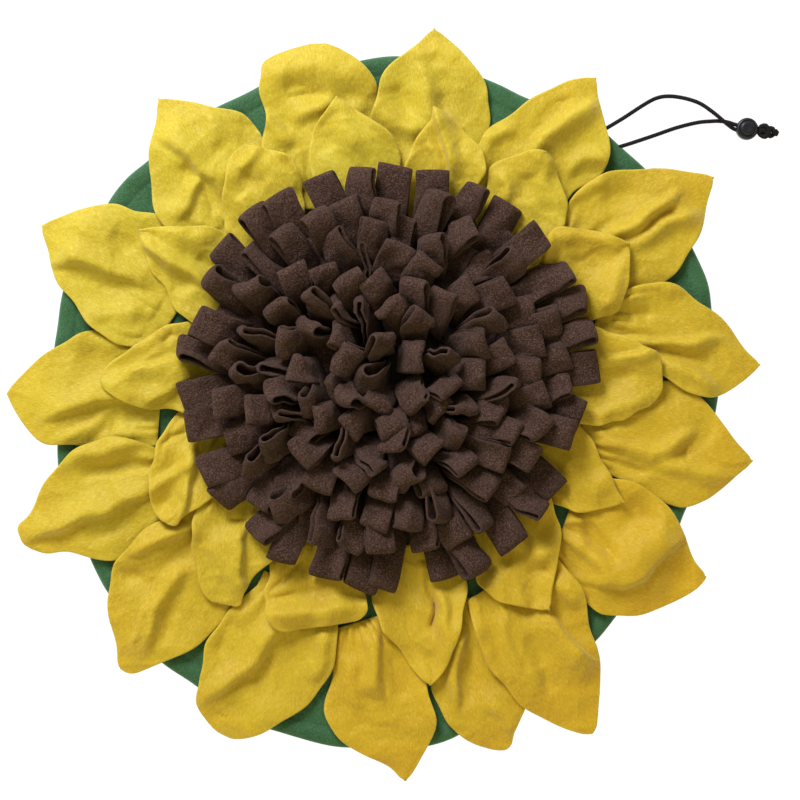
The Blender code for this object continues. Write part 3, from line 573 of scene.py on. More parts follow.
# name, root x y, tip x y, widths left of the middle line at the shares, widths right of it
PETALS = (
    ("outer_petal_05", (158, -31), (280, -47), (25, 38, 46, 52, 29, 11, 1), (20, 25, 31, 42, 34, 14, 2)),
    ("outer_petal_13", (-177, -4), (-296, 5), (32, 34, 35, 35, 35, 19, 2), (34, 45, 52, 52, 34, 17, 2)),
    ("outer_petal_08", (55, -154), (89, -270), (17, 28, 35, 37, 26, 11, 5), (14, 22, 29, 41, 35, 23, 5)),
    ("outer_petal_09", (-25, -171), (12, -294), (17, 25, 32, 37, 33, 16, 2), (16, 24, 30, 45, 28, 8, 2)),
    ("outer_petal_14", (-175, 75), (-269, 135), (41, 46, 46, 38, 26, 11, 2), (32, 48, 55, 49, 36, 16, 2)),
    ("outer_petal_15", (-113, 145), (-179, 233), (40, 52, 56, 47, 28, 10, 1), (32, 40, 43, 47, 27, 12, 1)),
    ("outer_petal_16", (-55, 160), (-55, 275), (32, 40, 43, 41, 45, 38, 9), (30, 36, 39, 45, 43, 28, 8)),
    ("outer_petal_01", (32, 169), (34, 287), (34, 42, 46, 45, 33, 12, 1), (32, 38, 41, 44, 32, 15, 1)),
    ("outer_petal_02", (102, 150), (159, 249), (40, 50, 53, 43, 28, 16, 2), (22, 27, 30, 42, 25, 8, 1)),
    ("outer_petal_03", (150, 104), (250, 172), (34, 45, 51, 46, 28, 13, 2), (30, 40, 46, 42, 27, 11, 1)),
    ("outer_petal_04", (171, 58), (286, 27), (27, 36, 42, 35, 21, 7, 1), (17, 20, 23, 32, 34, 18, 2)),
    ("outer_petal_06", (134, -96), (244, -137), (34, 44, 48, 46, 27, 8, 2), (25, 35, 47, 53, 38, 21, 5)),
    ("outer_petal_07", (84, -139), (156, -258), (46, 49, 51, 41, 29, 14, 4), (29, 34, 39, 39, 29, 15, 3)),
    ("outer_petal_12", (-168, -60), (-286, -105), (30, 38, 43, 45, 25, 19, 8), (23, 37, 46, 46, 30, 13, 8)),
    ("outer_petal_11", (-143, -103), (-208, -208), (33, 41, 45, 46, 31, 18, 9), (27, 38, 43, 45, 29, 11, 3)),
    ("outer_petal_10", (-79, -154), (-128, -259), (43, 49, 53, 51, 36, 23, 9), (26, 33, 38, 42, 34, 28, 9)),
    ("inner_petal_06", (113, -28), (180, -79), (34, 32, 28, 20, 10, 4, 1), (36, 34, 32, 33, 25, 12, 1)),
    ("inner_petal_08", (22, -124), (31, -219), (34, 35, 35, 29, 20, 11, 2), (34, 36, 38, 33, 18, 10, 2)),
    ("inner_petal_03", (90, 112), (122, 189), (26, 31, 34, 35, 35, 20, 11), (22, 25, 27, 32, 21, 9, 2)),
    ("inner_petal_04", (118, 77), (184, 120), (26, 33, 37, 40, 25, 12, 2), (24, 29, 32, 38, 27, 12, 2)),
    ("inner_petal_05", (133, 13), (209, 19), (32, 40, 42, 37, 28, 21, 17), (26, 32, 34, 33, 26, 20, 13)),
    ("inner_petal_07", (82, -90), (122, -161), (44, 43, 41, 34, 16, 7, 1), (30, 31, 32, 37, 26, 12, 2)),
    ("inner_petal_09", (-63, -110), (-54, -174), (40, 38, 37, 37, 38, 38, 32), (30, 31, 32, 38, 39, 36, 31)),
    ("inner_petal_10", (-114, -74), (-129, -157), (31, 32, 32, 33, 18, 15, 15), (30, 32, 33, 31, 23, 18, 11)),
    ("inner_petal_11", (-132, -20), (-169, -95), (28, 27, 26, 26, 14, 7, 7), (32, 34, 36, 34, 28, 20, 12)),
    ("inner_petal_12", (-129, 23), (-222, 15), (24, 30, 32, 26, 22, 13, 5), (30, 38, 40, 35, 21, 14, 5)),
    ("inner_petal_13", (-130, 69), (-193, 131), (20, 23, 24, 18, 13, 6, 1), (32, 41, 44, 44, 25, 11, 1)),
    ("inner_petal_14", (-91, 122), (-116, 194), (24, 28, 30, 26, 18, 11, 4), (24, 30, 33, 37, 34, 19, 8)),
    ("inner_petal_01", (-27, 144), (-41, 233), (22, 26, 28, 28, 22, 9, 1), (28, 34, 37, 41, 25, 9, 1)),
    ("inner_petal_02", (32, 144), (34, 225), (18, 21, 22, 20, 10, 2, 1), (24, 31, 35, 41, 26, 12, 1)),
)

# %% Table of folds
# petal (O outer, I inner), height, spread to the left and to the right of the line, then its places.
# A small spread makes that side of a ridge fall steeply. A negative height is a trough.
FOLDS = (
    ("O1", 5, 8, 8, (20, 268), (27, 246), (30, 225), (33, 200)),
    ("O1", 6, 8, 10, (-24, 234), (-4, 219), (14, 210), (34, 204)),
    ("O1", -3, 7, 7, (2, 246), (12, 230), (20, 219)),
    ("O1", -3, 7, 7, (40, 256), (43, 238), (42, 218)),
    ("O1", 3, 6, 6, (12, 262), (34, 272), (58, 262)),
    ("O2", 8, 4, 10, (100, 172), (109, 189), (118, 204), (131, 214), (147, 223), (164, 236)),
    ("O2", -3, 6, 6, (108, 199), (119, 216), (134, 228), (150, 238)),
    ("O2", 4, 9, 6, (132, 172), (150, 186), (172, 186)),
    ("O2", -3, 5, 5, (132, 154), (144, 167), (162, 176)),
    ("O2", 4, 7, 7, (66, 198), (84, 204), (100, 212)),
    ("O3", 7, 5, 5, (160, 116), (178, 129), (194, 141), (212, 153), (230, 162)),
    ("O3", 6, 5, 8, (178, 114), (198, 127), (216, 136), (244, 146)),
    ("O3", -3, 4, 4, (190, 130), (206, 141), (224, 150)),
    ("O3", -3, 9, 9, (158, 150), (176, 156), (196, 160)),
    ("O3", 4, 6, 6, (134, 150), (150, 164), (170, 174)),
    ("O4", 7, 4, 7, (170, 48), (192, 44), (216, 43), (242, 45), (264, 50)),
    ("O4", 5, 6, 8, (196, 30), (220, 26), (238, 18), (256, 4)),
    ("O4", -3, 5, 5, (206, 34), (232, 34), (254, 30)),
    ("O4", 4, 6, 9, (176, 84), (206, 90), (232, 80)),
    ("O4", -3, 5, 5, (176, 62), (190, 66), (206, 62)),
    ("O5", 7, 4, 10, (154, -20), (170, -29), (184, -37), (200, -40), (218, -34), (240, -20)),
    ("O5", 5, 7, 8, (196, -50), (222, -51), (244, -56), (270, -64)),
    ("O5", -4, 6, 7, (252, -10), (240, -28), (226, -42), (210, -47)),
    ("O5", -3, 6, 6, (164, -44), (182, -52), (202, -58)),
    ("O6", 8, 14, 19, (146, -120), (168, -127), (186, -118), (202, -103), (224, -84)),
    ("O6", 6, 17, 1.9, (140, -134), (160, -143), (178, -144), (193, -135), (208, -121), (234, -98)),
    ("O6", -5, 5, 5, (144, -92), (154, -101), (164, -112), (178, -124)),
    ("O6", 4, 5, 8, (138, -98), (148, -109), (158, -121), (172, -133)),
    ("O6", 3, 3, 3, (132, -95), (141, -94), (150, -96)),
    ("O6", -3, 10, 10, (176, -84), (196, -92), (212, -98)),
    ("O7", 9, 1.9, 22, (116, -152), (121, -162), (129, -175), (141, -187), (154, -197), (166, -202)),
    ("O7", -3, 6, 6, (106, -172), (114, -195), (120, -216), (122, -234)),
    ("O7", 3, 5, 6, (80, -158), (90, -185), (102, -212)),
    ("O7", 4, 7, 7, (122, -136), (136, -146), (146, -160)),
    ("O7", 4, 8, 6, (60, -160), (70, -188), (88, -220)),
    ("O8", 7, 3.5, 8, (56, -164), (52, -190), (50, -214), (52, -244)),
    ("O8", -3, 5, 7, (62, -186), (62, -212), (64, -238)),
    ("O8", 4, 9, 9, (74, -226), (90, -244), (100, -262)),
    ("O9", 7, 3, 12, (-12, -164), (-10, -190), (-10, -214), (-5, -240)),
    ("O9", -3, 6, 6, (2, -192), (6, -214), (10, -236)),
    ("O9", -3, 9, 9, (-38, -250), (-10, -254), (18, -262)),
    ("O9", 4, 8, 8, (-30, -192), (-30, -216), (-22, -244)),
    ("O10", 8, 4, 12, (-74, -160), (-88, -178), (-99, -193), (-112, -208), (-128, -221), (-152, -236)),
    ("O10", -4, 6, 5, (-88, -192), (-99, -206), (-106, -224)),
    ("O10", -3, 8, 8, (-144, -242), (-124, -238), (-104, -238)),
    ("O10", -3, 7, 7, (-112, -166), (-124, -180), (-136, -198)),
    ("O10", 5, 6, 10, (-46, -176), (-52, -200), (-66, -222)),
    ("O11", 6, 4, 10, (-144, -96), (-166, -103), (-188, -111), (-210, -122)),
    ("O11", 7, 4, 10, (-140, -126), (-158, -134), (-172, -145), (-180, -160), (-186, -184), (-190, -208)),
    ("O11", 3, 4, 4, (-184, -150), (-193, -168), (-198, -196)),
    ("O11", -3, 7, 7, (-214, -140), (-200, -136), (-184, -134)),
    ("O11", -3, 6, 6, (-166, -150), (-172, -168), (-172, -190)),
    ("O12", 8, 4, 14, (-166, -60), (-188, -71), (-210, -80), (-236, -91), (-262, -101), (-292, -112)),
    ("O12", 5, 7, 7, (-262, -58), (-240, -44), (-216, -36), (-192, -34), (-176, -40)),
    ("O12", -4, 7, 7, (-244, -60), (-222, -52), (-200, -49), (-182, -50)),
    ("O12", -3, 6, 6, (-190, -86), (-214, -98), (-238, -110)),
    ("O13", 7, 14, 4, (-276, -18), (-250, -7), (-228, 0), (-206, 2), (-184, 0)),
    ("O13", 4, 4, 5, (-262, -34), (-242, -27), (-226, -18), (-216, -8)),
    ("O13", -3, 3, 4, (-208, -6), (-210, -16), (-214, -28)),
    ("O13", 4, 6, 6, (-230, -34), (-212, -24), (-192, -28)),
    ("O13", 4, 8, 12, (-250, 44), (-226, 48), (-200, 40)),
    ("O14", 7, 12, 4, (-272, 106), (-244, 107), (-220, 103), (-199, 95), (-178, 84)),
    ("O14", -3, 6, 6, (-254, 98), (-228, 92), (-200, 84)),
    ("O14", 4, 12, 10, (-236, 154), (-240, 130), (-250, 104)),
    ("O14", 4, 8, 8, (-236, 72), (-210, 66), (-186, 64)),
    ("O14", -3, 8, 8, (-216, 132), (-206, 122), (-196, 114)),
    ("O15", 7, 14, 4, (-184, 206), (-166, 199), (-154, 189), (-145, 178), (-132, 169), (-122, 150)),
    ("O15", -4, 7, 7, (-162, 184), (-154, 174), (-148, 164)),
    ("O15", 6, 9, 4, (-170, 136), (-157, 150), (-149, 165), (-145, 180)),
    ("O15", -3, 4, 4, (-145, 168), (-139, 154), (-134, 138)),
    ("O15", -4, 7, 7, (-106, 218), (-108, 204), (-114, 190)),
    ("O15", 3, 7, 7, (-134, 226), (-136, 208), (-132, 190)),
    ("O16", 6, 15, 13, (-106, 236), (-88, 252), (-56, 258), (-26, 250), (-6, 230)),
    ("O16", 6, 5, 7, (-110, 232), (-96, 218), (-84, 206), (-70, 194)),
    ("O16", 5, 8, 7, (-80, 214), (-62, 222), (-40, 232)),
    ("O16", -4, 7, 7, (-84, 238), (-66, 236), (-46, 240)),
    ("O16", 4, 6, 8, (-22, 236), (-26, 214), (-32, 196)),
    ("I1", 4, 10, 10, (-41, 238), (-34, 208), (-20, 184)),
    ("I1", -2, 9, 9, (-50, 208), (-48, 190)),
    ("I2", 7, 14, 2.2, (33, 232), (38, 210), (45, 192), (49, 166)),
    ("I2", 2.5, 4, 4, (27, 206), (35, 188), (40, 170)),
    ("I2", -2, 6, 6, (50, 206), (56, 186), (58, 168)),
    ("I3", 4, 8, 8, (122, 194), (118, 168), (130, 142)),
    ("I3", -3, 9, 9, (104, 176), (104, 150)),
    ("I3", 4, 6, 6, (80, 178), (90, 166), (88, 146)),
    ("I4", 5, 9, 9, (184, 118), (174, 100), (170, 78), (158, 58)),
    ("I4", 5, 6, 2.4, (126, 134), (121, 118), (118, 98)),
    ("I4", -3, 8, 8, (134, 106), (152, 106), (170, 112)),
    ("I4", 3, 6, 6, (124, 128), (150, 125), (178, 120)),
    ("I5", 6, 2.5, 14, (142, 35), (168, 33), (190, 34), (212, 42)),
    ("I5", -2, 9, 9, (156, 14), (192, 18)),
    ("I5", 3, 7, 7, (150, -14), (178, -6), (202, 6)),
    ("I6", 3, 11, 11, (130, -40), (150, -60), (172, -76)),
    ("I6", 3, 4, 4, (112, -62), (124, -72), (140, -86)),
    ("I7", 5, 5, 9, (74, -94), (94, -107), (112, -115), (134, -118)),
    ("I7", -3, 6, 6, (124, -126), (112, -130), (102, -128)),
    ("I7", 4, 8, 8, (84, -124), (96, -140), (110, -158)),
    ("I7", -3, 3.5, 3.5, (82, -122), (72, -134), (66, -148)),
    ("I8", -7, 2.6, 2.6, (31, -128), (31, -150), (34, -170), (36, -188)),
    ("I8", 4, 5, 5, (38, -142), (42, -164), (42, -188)),
    ("I8", 3, 7, 7, (18, -144), (22, -172), (26, -200)),
    ("I9", 8, 6, 10, (-106, -163), (-72, -164), (-42, -159), (-10, -156)),
    ("I9", -3, 4, 4, (-96, -150), (-72, -150), (-46, -145)),
    ("I9", -3, 3, 3, (-66, -118), (-80, -134), (-94, -150)),
    ("I10", 7, 2.4, 14, (-108, -90), (-115, -110), (-115, -132), (-110, -158)),
    ("I10", -3, 3, 3, (-128, -90), (-108, -92)),
    ("I10", 2, 6, 6, (-132, -98), (-132, -128), (-134, -152)),
    ("I11", 7, 3, 9, (-148, -24), (-152, -48), (-156, -72), (-164, -100)),
    ("I11", 4, 5, 5, (-146, -46), (-165, -58), (-190, -70)),
    ("I11", -3, 3, 3, (-156, -20), (-167, -30), (-176, -40)),
    ("I11", 3, 4, 4, (-160, -74), (-168, -88), (-176, -96)),
    ("I12", 6, 10, 4, (-144, 34), (-168, 28), (-190, 24), (-216, 12)),
    ("I12", 6, 3, 12, (-144, 21), (-163, 14), (-177, 4), (-196, -10)),
    ("I12", -3, 4, 4, (-164, 54), (-176, 42)),
    ("I12", 3, 6, 6, (-204, 36), (-190, 42), (-172, 56)),
    ("I13", 7, 9, 4.5, (-202, 132), (-180, 115), (-161, 102), (-144, 91), (-126, 84)),
    ("I13", -3, 6, 6, (-152, 114), (-138, 104), (-126, 98)),
    ("I13", -3, 7, 7, (-186, 104), (-168, 92), (-152, 82)),
    ("I13", 3, 7, 7, (-178, 130), (-152, 124), (-130, 122)),
    ("I14", 5, 5, 5, (-96, 202), (-105, 187), (-115, 176)),
    ("I14", -3, 8, 8, (-118, 174), (-104, 168), (-92, 164)),
    ("I14", 4, 6, 6, (-92, 192), (-76, 184), (-62, 172)),
    ("I14", 3, 7, 7, (-116, 158), (-104, 142)),
)
print("petals:", len(PETALS), "folds:", len(FOLDS))


# %% The outline of a petal
CLOTH = 2.0
PETAL_GAP = 0.5
EDGE = 1.5
# how far a petal goes on beyond its listed root, under what covers it, unless its root shows
TUCK = 13.0
SHOWN_ROOTS = ("outer_petal_06", "outer_petal_07", "outer_petal_08", "outer_petal_09", "outer_petal_13")
# the last stretch before a tip, over which a quarter circle draws the sides in
TIP_ROUND = 5.0
# how far the scissors stray, and the least half width of a petal
CUT_WAVE = 0.9
LEAST_HALF = 0.9
# how far in from the border the first lines lie, as shares of the edge, and their thickness
EDGE_IN = np.array([0.0, 0.12, 0.42])
EDGE_THICK = np.sqrt(1 - (1 - EDGE_IN) ** 2)


def half_width(values, share):
    """Smooth width of one side of a petal at a share of its length (Hermite curves)."""
    known = np.array(SHARES)
    width = np.array(values, float)
    slope = np.gradient(width, known)
    slope[0] = (width[1] - width[0]) / known[1]
    slope[-1] = (width[-1] - width[-2]) / (known[-1] - known[-2])
    cell = np.clip(np.searchsorted(known, share, side="right") - 1, 0, len(known) - 2)
    step = known[cell + 1] - known[cell]
    t = (share - known[cell]) / step
    start = (2 * t ** 3 - 3 * t ** 2 + 1) * width[cell] + (t ** 3 - 2 * t ** 2 + t) * step * slope[cell]
    end = (3 * t ** 2 - 2 * t ** 3) * width[cell + 1] + (t ** 3 - t ** 2) * step * slope[cell + 1]
    return np.maximum(start + end, 1.0)


def with_edges(full, edge, count):
    """Distances from 0 to full: three close together at each end, the others even between them."""
    inner = np.linspace(0, 1, count)
    return np.concatenate([EDGE_IN * edge, edge + (full - 2 * edge) * inner, full - EDGE_IN[::-1] * edge], axis=-1)


def edge_shares(count):
    """Thickness shares along such a row: thin at both ends, as a quarter circle, and full between."""
    return np.concatenate([EDGE_THICK, np.ones(count), EDGE_THICK[::-1]])


def petal_plan(row, rows=74, columns=56):
    """A petal's grid in plan: places, cloth coordinates, thickness shares, sides, shares, border.

    Sides go from -1 at the right border to 1 at the left one, shares from 0 at the root to 1 at
    the tip, and border is each point's distance in from the petal's border.
    """
    name, root, tip, left_widths, right_widths = row
    way = np.subtract(tip, root)
    length = np.hypot(*way)
    way = way / length
    left = np.array([-way[1], way[0]])
    tuck = 0.0 if name in SHOWN_ROOTS else TUCK
    reach = with_edges(length + tuck, EDGE, rows) - tuck
    share = np.maximum(reach / length, 0.0)
    near_tip = np.clip(1 - (length - reach) / TIP_ROUND, 0.0, 1.0)
    cut = TIP_ROUND * (1 - np.sqrt(1 - near_tip ** 2))
    stray = CUT_WAVE * np.sin(np.pi * share)
    left_width = half_width(left_widths, share) + stray * np.sin(19 * share + root[0])
    right_width = half_width(right_widths, share) + stray * np.sin(23 * share + root[1])
    left_width, right_width = [np.maximum(width - cut, LEAST_HALF)[:, None] for width in (left_width, right_width)]
    full = left_width + right_width
    lines = with_edges(full, np.minimum(EDGE, 0.3 * full), columns)
    across = lines - right_width
    plan = root + reach[:, None, None] * way + across[..., None] * left
    cloth = np.stack([across, np.broadcast_to(reach[:, None], across.shape)], axis=-1)
    side = np.where(across < 0, across / right_width, across / left_width)
    border = np.minimum(np.minimum(lines, full - lines), np.minimum(reach + tuck, length - reach)[:, None])
    return plan, cloth, edge_shares(rows)[:, None] * edge_shares(columns), side, share[:, None], border


# %% Folds and pleats
# the spread of a fold's bell curve as a share of the listed one, and the share of its line over
# which it fades at either end
BELL = 0.85
FADE = 0.3


def along_line(places, line):
    """Distance to a bent line, the side on which each place lies, and how far along it is."""
    line = np.array(line, float)
    lengths = np.linalg.norm(np.diff(line, axis=0), axis=1)
    before = np.concatenate([[0], np.cumsum(lengths)])
    near = np.full(places.shape[:-1], 1e9)
    side = np.zeros_like(near)
    along = np.zeros_like(near)
    for one, other, length, gone in zip(line[:-1], line[1:], lengths, before):
        way = (other - one) / length
        off = places - one
        t = np.clip(off @ way, 0, length)
        gap = np.linalg.norm(off - t[..., None] * way, axis=-1)
        turn = way[0] * off[..., 1] - way[1] * off[..., 0]
        closer = gap < near
        near = np.where(closer, gap, near)
        side = np.where(closer, np.sign(turn), side)
        along = np.where(closer, (gone + t) / before[-1], along)
    return near, side, along


def fold(places, height, left, right, line):
    """A ridge along a line: a bell curve with its own spread on either side, fading at its ends."""
    near, side, along = along_line(places, line)
    spread = np.where(side >= 0, left, right) * BELL
    fade = smooth_step(along / FADE) * smooth_step((1 - along) / FADE)
    return height * fade * np.exp(-(near / spread) ** 2)


def petal_folds(name, places):
    """All listed folds of one petal added up."""
    short = name[0].upper() + str(int(name[-2:]))
    total = np.zeros(places.shape[:-1])
    for owner, height, left, right, *line in FOLDS:
        if owner == short:
            total += fold(places, height, left, right, line)
    return total


def root_pleats(seed, side, share):
    """Five pleats that fan out of the sewn root: sharp on one side, gone before half the length."""
    chance = np.random.default_rng(seed)
    total = np.zeros(np.broadcast_shapes(side.shape, share.shape))
    for place in np.linspace(-0.7, 0.7, 5) + chance.uniform(-0.12, 0.12, 5):
        height = chance.uniform(1.2, 3.0)
        far = chance.uniform(0.25, 0.5)
        off = side - place * (1.0 + 0.25 * share)
        sharp = chance.choice([-1.0, 1.0])
        spread = np.where(off * sharp > 0, 0.05, 0.14) * (1.0 + 1.5 * share)
        fade = smooth_step(1 - share / far)
        total += height * np.exp(-(off / spread) ** 2) * fade * smooth_step(share / 0.05 + 0.3)
    return total


# %% Laying a petal
# heights of the puff, the rippled sides, the folds, the pleats and the fine creases
PUFF, RIPPLE, FOLD_GAIN, PLEAT_GAIN, CREASE = 2.6, 1.3, 1.2, 1.3, 0.8
# how far the folds stray from their listed lines
DRIFT = 2.2
# first seed, size and height of the soft waves that leave nothing quite even
UNEVEN = ((900, 50.0, 1.3), (100, 24.0, 0.55), (300, 10.0, 0.15))
# distance from the mat's middle at which petals start to hang down, and how far on they are down
DROOP_FROM, DROOP_OVER = 262.0, 40.0
# the slope of lifted cloth: how often it is spread, what is left each time, how often it is smoothed
SLOPE_TURNS, SLOPE_KEEPS, SOFT_TURNS = 60, 0.995, 22
# strength of the painted highlight along a petal's cut edge, and how far in it reaches
RIM_LIGHT, RIM_WIDTH = 0.25, 1.3


def blurred(values, turns):
    """A grid smoothed by taking the mean of each point's neighbours again and again."""
    for turn in range(turns):
        wide = np.pad(values, 1, mode="edge")
        values = (wide[:-2, 1:-1] + wide[2:, 1:-1] + wide[1:-1, :-2] + wide[1:-1, 2:] + 2 * values) / 6
    return values


def petal_relief(name, seed, plan, side, share):
    """Relief of a petal's cloth: puffed in the middle, folded, pleated at the root and wavy."""
    drift = np.stack([waves(plan, 500 + seed, 36.0), waves(plan, 700 + seed, 36.0)], axis=-1)
    puff = PUFF * np.sin(np.pi * share ** 0.8) * (1 - 0.6 * side ** 2)
    folds = FOLD_GAIN * petal_folds(name, plan + DRIFT * drift)
    pleats = PLEAT_GAIN * root_pleats(seed, side, share)
    ripple = RIPPLE * np.abs(side) ** 3 * np.sin(share * 9.0 + seed) * np.sin(np.pi * share)
    uneven = sum(height * waves(plan, first + seed, size) for first, size, height in UNEVEN)
    creases = CREASE * (1 - np.abs(waves(plan, 1100 + seed, 42.0))) ** 5
    return puff + folds + pleats + ripple + uneven + creases


def petal_light_and_tone(middle, seed):
    """From 0, a lemon yellow at the top left of the mat, to 1, a warm one at the bottom right."""
    # painted light and shade: paler where the light falls at the top left, warmer in the shade at the bottom
    # right, with a little random tone for each petal
    return np.clip(0.45 + (0.6 * middle[0] - 0.8 * middle[1]) / 460 + 0.1 * math.sin(seed * 2.4), 0, 1)


def lay_petal(row, seed, heights):
    """A petal's cloth, carried by whatever lies below it, then entered in the map.

    The carried height is that of the flat cloth, or of what lies below where that is higher, with
    soft slopes between. The relief is added to it, and kept above what lies below: the level is
    floor + (over + sqrt(over^2 + 1)) / 2, which is never under the floor.
    """
    plan, cloth, thick, side, share, border = petal_plan(row)
    half = CLOTH / 2
    droop = smooth_step((np.linalg.norm(plan - BASE_CENTRE, axis=-1) - DROOP_FROM) / DROOP_OVER)
    flat = (BASE_TOP + PETAL_GAP) * (1 - droop) + 0.6 * droop + half
    cells = cell_of(plan)
    below = widened(heights, 2)[cells]
    floor = np.maximum(blurred(below, 2), below) + PETAL_GAP + half
    need = np.maximum(widened(heights, 6)[cells] + PETAL_GAP + half - flat, 0.0)
    lift = need
    for turn in range(SLOPE_TURNS):
        lift = np.maximum(need, blurred(lift, 1) * SLOPE_KEEPS)
    over = flat + blurred(lift, SOFT_TURNS) + petal_relief(row[0], seed, plan, side, share) - floor
    level = floor + (over + np.sqrt(over ** 2 + 1.0)) / 2
    grid = np.concatenate([plan, level[..., None]], axis=-1)
    enter(heights, grid + np.array([0.0, 0.0, half]))
    points, faces = closed_sheet(grid, thick * half)
    # painted highlight along the petal's cut edge
    rim = np.exp(-(border / RIM_WIDTH) ** 2) * RIM_LIGHT
    light_and_shade_tone = np.full_like(rim, petal_light_and_tone(plan.mean(axis=(0, 1)), seed))
    piece = mesh_piece("petal_" + row[0].replace("_petal", ""), points, faces, yellow_fleece,
                       both_faces(cloth) * MM, {"rim": both_faces(rim), "light_and_shade_tone": both_faces(light_and_shade_tone)})
    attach(piece, "root")
    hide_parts(row[0])
    left, right = [half_width(values, share)[:, 0] for values in row[3:]]
    return level.max() + half


tops = [lay_petal(row, seed, heights) for seed, row in enumerate(PETALS)]
print("petals laid, highest point %.1f mm" % max(tops))

# %% [markdown]
# ## The pile of loops
# Strips of brown fleece, about 25 mm wide, are folded into loops and sewn by both ends on the
# green round, ring after ring. The outer rings fall outwards over the petals. Further in the
# loops stand close together and flop over any way, mostly across their own width, which is the
# way that a strip bends. Each loop here is a closed strip, carried up one leg, over a rounded
# top and down the other leg. Several ways of standing are tried for each, and the one that is
# clearest of its neighbours is kept.

# %% Where the loops stand
PILE_ROOT = np.array([-2.0, 18.0])
PILE_MIDDLE = np.array([-3.0, 20.0])
PILE_REACH = (160, 168, 164, 168, 170, 172, 162, 156, 160, 156, 164, 171, 173, 176, 160, 153)
FOOT_LEVEL = 2.4
# loops in the ring, root distance, share of the pile's reach, leg length, how far a tip is moved
# by the flop of its part of the pile, most turn about the loop's own length
RINGS = (
    (33, 110.0, 1.00, 49.0, 0.0, 0.42),
    (30, 95.0, 0.87, 50.0, 8.0, 0.62),
    (26, 79.5, 0.72, 51.0, 13.0, 0.75),
    (22, 64.0, 0.58, 52.0, 16.0, 0.80),
    (17, 48.5, 0.44, 53.0, 15.0, 0.80),
    (12, 33.0, 0.30, 54.0, 13.0, 0.75),
    (7, 17.5, 0.16, 54.0, 10.0, 0.75),
    (2, 5.0, 0.04, 54.0, 6.0, 0.75),
)
# rounds in which the loops' faces push one another apart, the room that each wants, the share of
# the overlap that a round takes away, and how far back from the tip the middle of a face lies
PUSHES, ROOM, PUSH_SHARE, FACE_BACK = 26, 23.5, 0.22, 0.28
# least and most distance in plan from root to tip, the last for the outer ring
LEAST_RUN, MOST_RUN, OUTER_RUN = 17.0, 43.0, 48.0


def tips_of_pile():
    """Plan places of all roots and tips: rings pushed about, then evened out by pushing apart."""
    chance = np.random.default_rng(23)
    roots, tips, rings = [], [], []
    for ring, (count, root_far, share, leg, flop, turn) in enumerate(RINGS):
        angle = (np.arange(count) + 0.5 * (ring % 2) + chance.uniform(-0.12, 0.12, count)) * 2 * math.pi / count
        way = np.stack([np.cos(angle), np.sin(angle)], axis=-1)
        tip = PILE_MIDDLE + ring_value(PILE_REACH, angle)[:, None] * share * way
        swing = 2.6 * waves(tip, 61, 90.0) + chance.uniform(-0.5, 0.5, count)
        tip = tip + flop * np.stack([np.cos(swing), np.sin(swing)], axis=-1)
        if ring == 0:
            aside = np.stack([-way[:, 1], way[:, 0]], axis=-1)
            tip = tip - way * chance.uniform(-1.0, 9.0, (count, 1)) + aside * chance.uniform(-7.0, 7.0, (count, 1))
        roots.append(PILE_ROOT + root_far * way)
        tips.append(tip)
        rings.append(np.full(count, ring))
    root, tip, ring = np.concatenate(roots), np.concatenate(tips), np.concatenate(rings)
    outer = ring[:, None] == 0
    for turn in range(PUSHES):
        face = tip - FACE_BACK * (tip - root)
        gap = face[:, None] - face[None]
        far = np.linalg.norm(gap, axis=-1) + np.eye(len(face)) * 99
        push = (gap / far[..., None] * np.maximum(ROOM - far, 0.0)[..., None]).sum(axis=1)
        tip = tip + PUSH_SHARE * np.where(outer, 0.0, push)
        lean = tip - root
        run = np.maximum(np.linalg.norm(lean, axis=1, keepdims=True), 1e-6)
        tip = root + lean / run * np.clip(run, LEAST_RUN, np.where(outer, OUTER_RUN, MOST_RUN))
    return root, tip, ring


# %% The shape of one loop
STRIP = 2.2
STRIP_WIDTH = 24.5
LEG_STEPS = 13
CAP_STEPS = 7
ACROSS = np.array([-1.0, -0.95, -0.66, -0.33, 0.0, 0.33, 0.66, 0.95, 1.0])
HALF_THICK = np.array([0.0, 0.75, 1.0, 1.0, 1.0, 1.0, 1.0, 0.75, 0.0]) * STRIP / 2
# the strip's profile: once round its flat oval, in shares of the half width and in millimetres
PROFILE_X = np.concatenate([ACROSS, ACROSS[-2:0:-1]])
PROFILE_Y = np.concatenate([HALF_THICK, -HALF_THICK[-2:0:-1]])
# half the distance between the legs at the root, the crease's half width, the least height of
# a point, and the height of the ripples
ROOT_OPENING, CREASE_WIDTH, LEAST_HEIGHT, RIPPLE_HEIGHT = 1.8, 4.5, 0.8, 0.7


def loop_frame(loop, steps):
    """Middle line of a loop from root to tip, with its slope, side and facing at each step.

    The line is a quadratic Bezier curve, (1 - t)^2 root + 2 t (1 - t) bend + t^2 tip. It starts
    upright and lies over towards its tip, and the side turns about it.
    """
    t = steps[:, None]
    root = np.array([*loop["root"], FOOT_LEVEL])
    tip = np.array([*loop["tip"], loop["top"]])
    lean = tip - root
    bend = root + lean * np.array([0.26, 0.26, loop["bend"]]) + np.array([*loop["sway"], 0.0])
    line = (1 - t) ** 2 * root + 2 * t * (1 - t) * bend + t * t * tip
    slope = 2 * (1 - t) * (bend - root) + 2 * t * (tip - bend)
    slope /= np.linalg.norm(slope, axis=1, keepdims=True)
    away = np.array([lean[0], lean[1], 0.0]) / max(math.hypot(lean[0], lean[1]), 1e-6)
    across = np.array([-away[1], away[0], 0.0])
    angle = loop["turn"] * (0.4 + 0.6 * t) + loop["twist"] * (t - 0.3) * t
    side = across * np.cos(angle) + np.cross(across, slope) * np.sin(angle)
    side -= slope * np.sum(side * slope, axis=1, keepdims=True)
    side /= np.linalg.norm(side, axis=1, keepdims=True)
    return line, slope, side, np.cross(side, slope)


def loop_opening(loop, steps):
    """Half the distance between a loop's two legs: close at the root, widest at the tip."""
    return ROOT_OPENING + (loop["open"] - ROOT_OPENING) * smooth_step((steps - 0.35) / 0.65) ** 1.5


